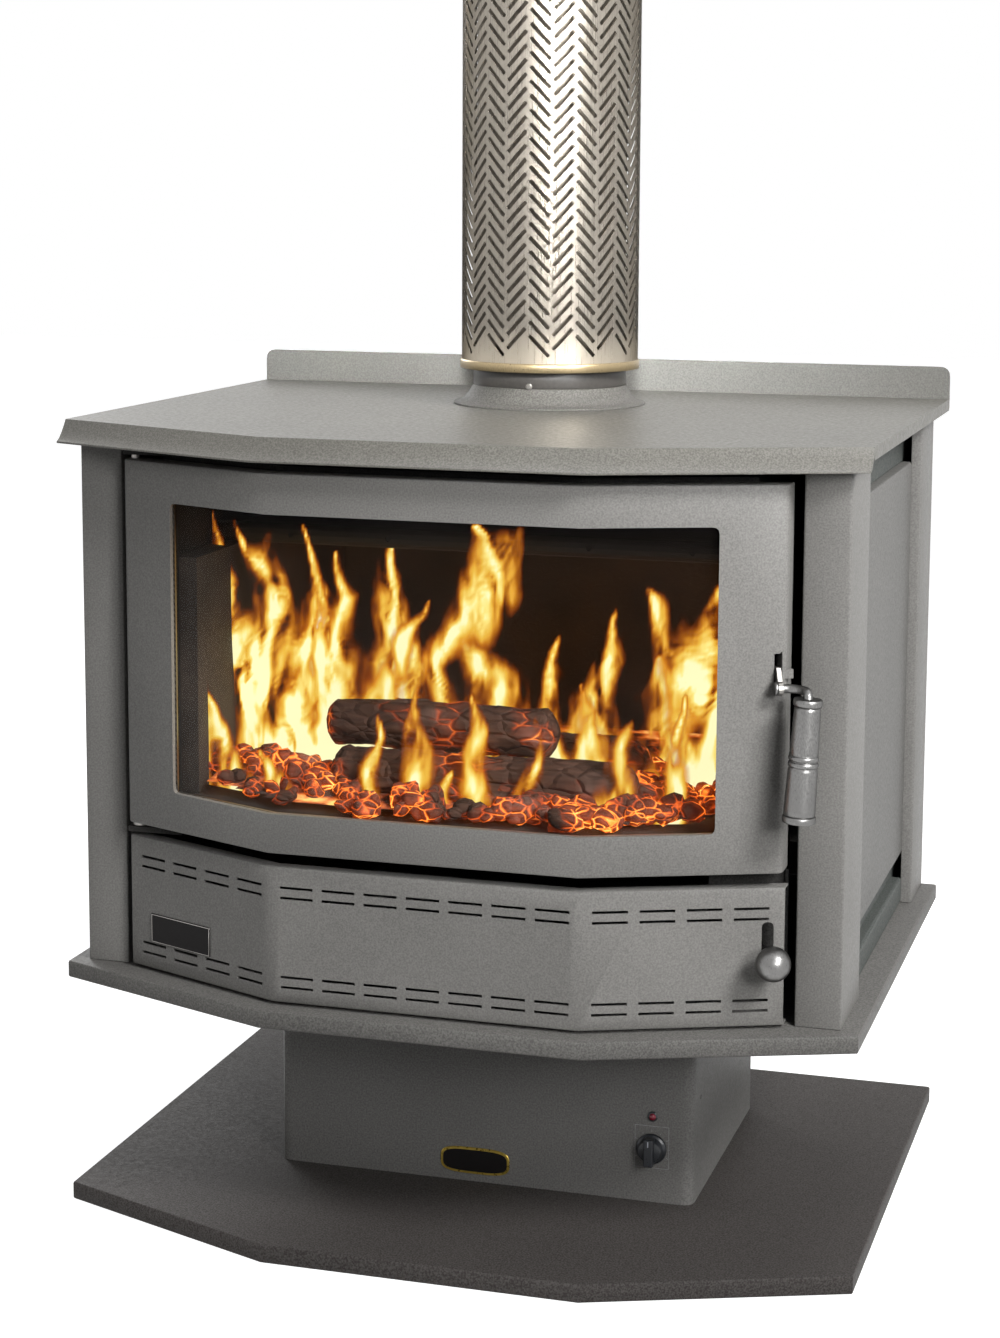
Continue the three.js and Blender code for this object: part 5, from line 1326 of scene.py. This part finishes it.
# Flames: each tongue is a line of knots (across, height, half width), all in metres, in its own layer.
# A layer is one upright sheet that follows the bay; its thickness is worked out from the tongues.
FLAME_LAYERS = {
    "front": (-0.213, [
        [(-0.075, 0.420, 0.016), (-0.080, 0.450, 0.014), (-0.070, 0.485, 0.009), (-0.076, 0.515, 0.003)],
        [(-0.030, 0.430, 0.022), (-0.026, 0.465, 0.020), (-0.034, 0.500, 0.014), (-0.024, 0.540, 0.004)],
        [(0.025, 0.430, 0.022), (0.020, 0.462, 0.018), (0.028, 0.495, 0.012), (0.020, 0.522, 0.004)],
        [(-0.258, 0.415, 0.026), (-0.262, 0.455, 0.024), (-0.268, 0.505, 0.018), (-0.272, 0.570, 0.006)],
        [(-0.225, 0.415, 0.032), (-0.232, 0.445, 0.026), (-0.248, 0.478, 0.012), (-0.256, 0.505, 0.004)],
        [(-0.165, 0.415, 0.026), (-0.178, 0.436, 0.020), (-0.196, 0.458, 0.006)],
        [(0.066, 0.418, 0.020), (0.072, 0.442, 0.016), (0.082, 0.474, 0.010), (0.078, 0.510, 0.003)],
        [(0.140, 0.416, 0.030), (0.160, 0.442, 0.022), (0.158, 0.474, 0.013), (0.168, 0.512, 0.003)],
        [(0.205, 0.414, 0.026), (0.214, 0.450, 0.020), (0.208, 0.492, 0.012), (0.214, 0.545, 0.003)],
        [(0.000, 0.416, 0.012), (-0.006, 0.430, 0.010), (0.002, 0.452, 0.003)],
    ]),
    "middle": (-0.150, [
        [(-0.225, 0.430, 0.036), (-0.232, 0.490, 0.032), (-0.250, 0.545, 0.026), (-0.262, 0.605, 0.018),
         (-0.272, 0.660, 0.005)],
        [(-0.230, 0.490, 0.034), (-0.218, 0.545, 0.032), (-0.210, 0.600, 0.022), (-0.228, 0.650, 0.010),
         (-0.240, 0.672, 0.003)],
        [(-0.180, 0.450, 0.060), (-0.176, 0.510, 0.052), (-0.162, 0.565, 0.038), (-0.146, 0.605, 0.024),
         (-0.160, 0.650, 0.005)],
        [(-0.130, 0.450, 0.055), (-0.128, 0.510, 0.042), (-0.130, 0.560, 0.029), (-0.116, 0.615, 0.012),
         (-0.126, 0.655, 0.002)],
        [(-0.092, 0.450, 0.042), (-0.086, 0.505, 0.030), (-0.066, 0.550, 0.020), (-0.048, 0.585, 0.010),
         (-0.040, 0.608, 0.003)],
        [(-0.016, 0.450, 0.032), (-0.022, 0.500, 0.020), (-0.030, 0.545, 0.016), (0.000, 0.580, 0.025),
         (0.024, 0.615, 0.029), (0.030, 0.648, 0.019), (0.016, 0.668, 0.004)],
        [(0.072, 0.450, 0.032), (0.076, 0.500, 0.019), (0.083, 0.548, 0.012), (0.086, 0.582, 0.003)],
        [(0.128, 0.450, 0.028), (0.116, 0.495, 0.017), (0.106, 0.530, 0.004)],
        [(0.218, 0.425, 0.030), (0.212, 0.480, 0.024), (0.216, 0.530, 0.028), (0.206, 0.572, 0.030),
         (0.190, 0.594, 0.018), (0.168, 0.608, 0.005)],
        [(0.232, 0.440, 0.022), (0.236, 0.500, 0.021), (0.232, 0.560, 0.021), (0.238, 0.620, 0.005)],
        [(-0.200, 0.438, 0.034), (-0.110, 0.452, 0.040), (-0.060, 0.464, 0.036), (-0.010, 0.464, 0.036),
         (0.050, 0.458, 0.036), (0.110, 0.446, 0.036), (0.160, 0.438, 0.034), (0.225, 0.432, 0.026)],
    ]),
    "back": (-0.030, [
        [(-0.230, 0.440, 0.052), (-0.200, 0.500, 0.042), (-0.195, 0.560, 0.024), (-0.210, 0.615, 0.006)],
        [(-0.120, 0.440, 0.064), (-0.110, 0.520, 0.048), (-0.130, 0.575, 0.025), (-0.120, 0.622, 0.005)],
        [(-0.020, 0.440, 0.058), (-0.010, 0.495, 0.038), (-0.040, 0.540, 0.018), (-0.036, 0.572, 0.004)],
        [(0.080, 0.430, 0.058), (0.090, 0.485, 0.038), (0.110, 0.535, 0.018), (0.118, 0.580, 0.004)],
        [(0.170, 0.430, 0.048), (0.160, 0.485, 0.028), (0.150, 0.530, 0.006)],
        [(0.225, 0.430, 0.036), (0.220, 0.500, 0.028), (0.226, 0.575, 0.014), (0.220, 0.620, 0.003)],
    ]),
}


def tongue_thickness(x, height, tongue):
    """How deep inside one tongue a place is, from 0 at its edge to 1 on its middle line."""
    best = 0.0
    for (x0, z0, w0), (x1, z1, w1) in zip(tongue, tongue[1:]):
        run = (x1 - x0, z1 - z0)
        share = ((x - x0) * run[0] + (height - z0) * run[1]) / (run[0] ** 2 + run[1] ** 2)
        share = min(max(share, 0.0), 1.0)
        away = math.hypot(x - x0 - share * run[0], height - z0 - share * run[1])
        best = max(best, 1 - away / mix(w0, w1, share))
    return best


def flame_sheet(name, depth, tongues, seed):
    """A sheet of fire whose thickness is kept as a point attribute for the material."""
    columns = int(2 * FLAME_HALF_WIDTH / FLAME_CELL)
    rows = int((FLAME_HIGH - FLAME_LOW) / FLAME_CELL)
    points = []
    thickness = []
    for row in range(rows + 1):
        for column in range(columns + 1):
            x = -FLAME_HALF_WIDTH + column * FLAME_CELL
            z = FLAME_LOW + row * FLAME_CELL
            rise = (z - FLAME_LOW) / (FLAME_HIGH - FLAME_LOW)
            place = Vector((x * 15, seed * 9.1, z * 8))
            bend = noise.noise_vector(place) * FLAME_BEND + noise.noise_vector(place * 2.7) * FLAME_CURL
            bend *= 0.35 + 0.9 * rise
            bent_x = x + bend.x
            bent_z = z + bend.z * 1.3
            thick = 0.0
            for tongue in tongues:
                thick += max(tongue_thickness(bent_x, bent_z, tongue), 0.0) ** 1.3
            fray = noise.noise(Vector((bent_x * 95, seed * 3.7, bent_z * 30)))
            fine = noise.noise(Vector((bent_x * 240 + bend.x * 900, seed * 5.3, bent_z * 70)))
            thick = thick * (1 + 1.1 * fray + 0.45 * fine) + min(thick, 0.3) * 0.6 * fray
            thickness.append(min(max(thick, 0.0), 1.6))
            shoulder = max(abs(x) - BAY_SHOULDER, 0) * math.tan(BAY_ANGLE)
            sway = noise.noise(Vector((x * 9, seed * 2.3, z * 9))) * FLAME_SWAY * (0.25 + rise)
            points.append(Vector((x, depth + shoulder * FLAME_FOLLOW + sway, z)))
    faces = []
    for row in range(rows):
        for column in range(columns):
            corner = row * (columns + 1) + column
            ring = (corner, corner + 1, corner + columns + 2, corner + columns + 1)
            if max(thickness[spot] for spot in ring) > 0.02:
                faces.append(ring)
    used = sorted({spot for ring in faces for spot in ring})
    renumber = {spot: index for index, spot in enumerate(used)}
    mesh = mesh_of(name, [points[spot] for spot in used], [
        tuple(renumber[spot] for spot in ring) for ring in faces
    ])
    layer = mesh.attributes.new("fire", "FLOAT", "POINT")
    layer.data.foreach_set("value", [thickness[spot] for spot in used])
    return mesh


for seed, (layer_name, (depth, tongues)) in enumerate(FLAME_LAYERS.items()):
    make_piece(
        "flames_" + layer_name, flame_sheet("flames_" + layer_name, depth, tongues, seed + 1),
        ROOT, fire_matter,
    )


# Camera


def camera_axes():
    ahead = Vector((
        -math.sin(CAMERA_YAW) * math.cos(CAMERA_PITCH), math.cos(CAMERA_YAW) * math.cos(CAMERA_PITCH),
        -math.sin(CAMERA_PITCH),
    ))
    right = Vector((math.cos(CAMERA_YAW), math.sin(CAMERA_YAW), 0))
    up = right.cross(ahead)
    rolled_right = right * math.cos(CAMERA_ROLL) + up * math.sin(CAMERA_ROLL)
    rolled_up = up * math.cos(CAMERA_ROLL) - right * math.sin(CAMERA_ROLL)
    return rolled_right, rolled_up, ahead


def add_camera():
    data = bpy.data.cameras.new("camera")
    camera = bpy.data.objects.new("camera", data)
    bpy.context.scene.collection.objects.link(camera)
    right, up, ahead = camera_axes()
    turn = Matrix((right, up, -ahead)).transposed()
    camera.matrix_world = Matrix.Translation(CAMERA_PLACE) @ turn.to_4x4()
    data.sensor_width = SENSOR
    data.lens = FOCAL_PIXELS * SENSOR / PHOTO_HEIGHT
    data.shift_x = (PHOTO_WIDTH / 2 - OPTIC_X) / PHOTO_HEIGHT
    data.shift_y = (OPTIC_Y - PHOTO_HEIGHT / 2) / PHOTO_HEIGHT
    data.clip_end = CLIP_END
    bpy.context.scene.camera = camera


def add_lamp(name, place, size, power, aim, spread):
    data = bpy.data.lights.new(name, "AREA")
    data.shape = "RECTANGLE"
    data.size, data.size_y = size
    data.energy = power
    data.spread = math.radians(spread)
    lamp = bpy.data.objects.new(name, data)
    bpy.context.scene.collection.objects.link(lamp)
    lamp.location = place
    lamp.rotation_euler = (Vector(place) - Vector(aim)).to_track_quat("Z", "Y").to_euler()


def seen_directly(tree):
    """One for what the camera sees, straight, in a mirror or through glass, and zero for the rest."""
    path = node(tree, "ShaderNodeLightPath")
    seen = maths(tree, "ADD", path.outputs["Is Camera Ray"], path.outputs["Is Glossy Ray"])
    seen = maths(tree, "ADD", seen, path.outputs["Is Transmission Ray"])
    return maths(tree, "MINIMUM", seen, 1.0)


def add_studio():
    world = bpy.data.worlds.new("studio")
    bpy.context.scene.world = world
    world.use_nodes = True
    tree = world.node_tree
    background = tree.nodes["Background"]
    background.inputs["Color"].default_value = (1, 1, 1, 1)
    wire(background, "Strength", level_of(tree, seen_directly(tree), 0, 1, WORLD_LIGHT, 1.0))
    floor_mesh = mesh_of("floor", [
        (-FLOOR_REACH, -FLOOR_REACH, -FLOOR_DROP), (FLOOR_REACH, -FLOOR_REACH, -FLOOR_DROP),
        (FLOOR_REACH, FLOOR_REACH, -FLOOR_DROP), (-FLOOR_REACH, FLOOR_REACH, -FLOOR_DROP),
    ], [(0, 1, 2, 3)])
    floor = bpy.data.objects.new("floor", floor_mesh)
    bpy.context.scene.collection.objects.link(floor)
    material, tree, shader = new_material("floor", Roughness=0.9)
    cloud = level_of(tree, noise_of(tree, place_of(tree), 2, 2), 0.3, 0.7)
    tone = blend_of(tree, cloud, *FLOOR_TONES)
    wire(shader, "Base Color", tone)
    shader.inputs["Emission Color"].default_value = (1, 1, 1, 1)
    wire(shader, "Emission Strength", level_of(tree, seen_directly(tree), 0, 1, 0.0, FLOOR_SEEN))
    floor_mesh.materials.append(material)
    for lamp_name, settings in LAMPS.items():
        add_lamp(lamp_name, *settings)


add_camera()
add_studio()

view = bpy.context.scene.view_settings
view.view_transform = "Standard"
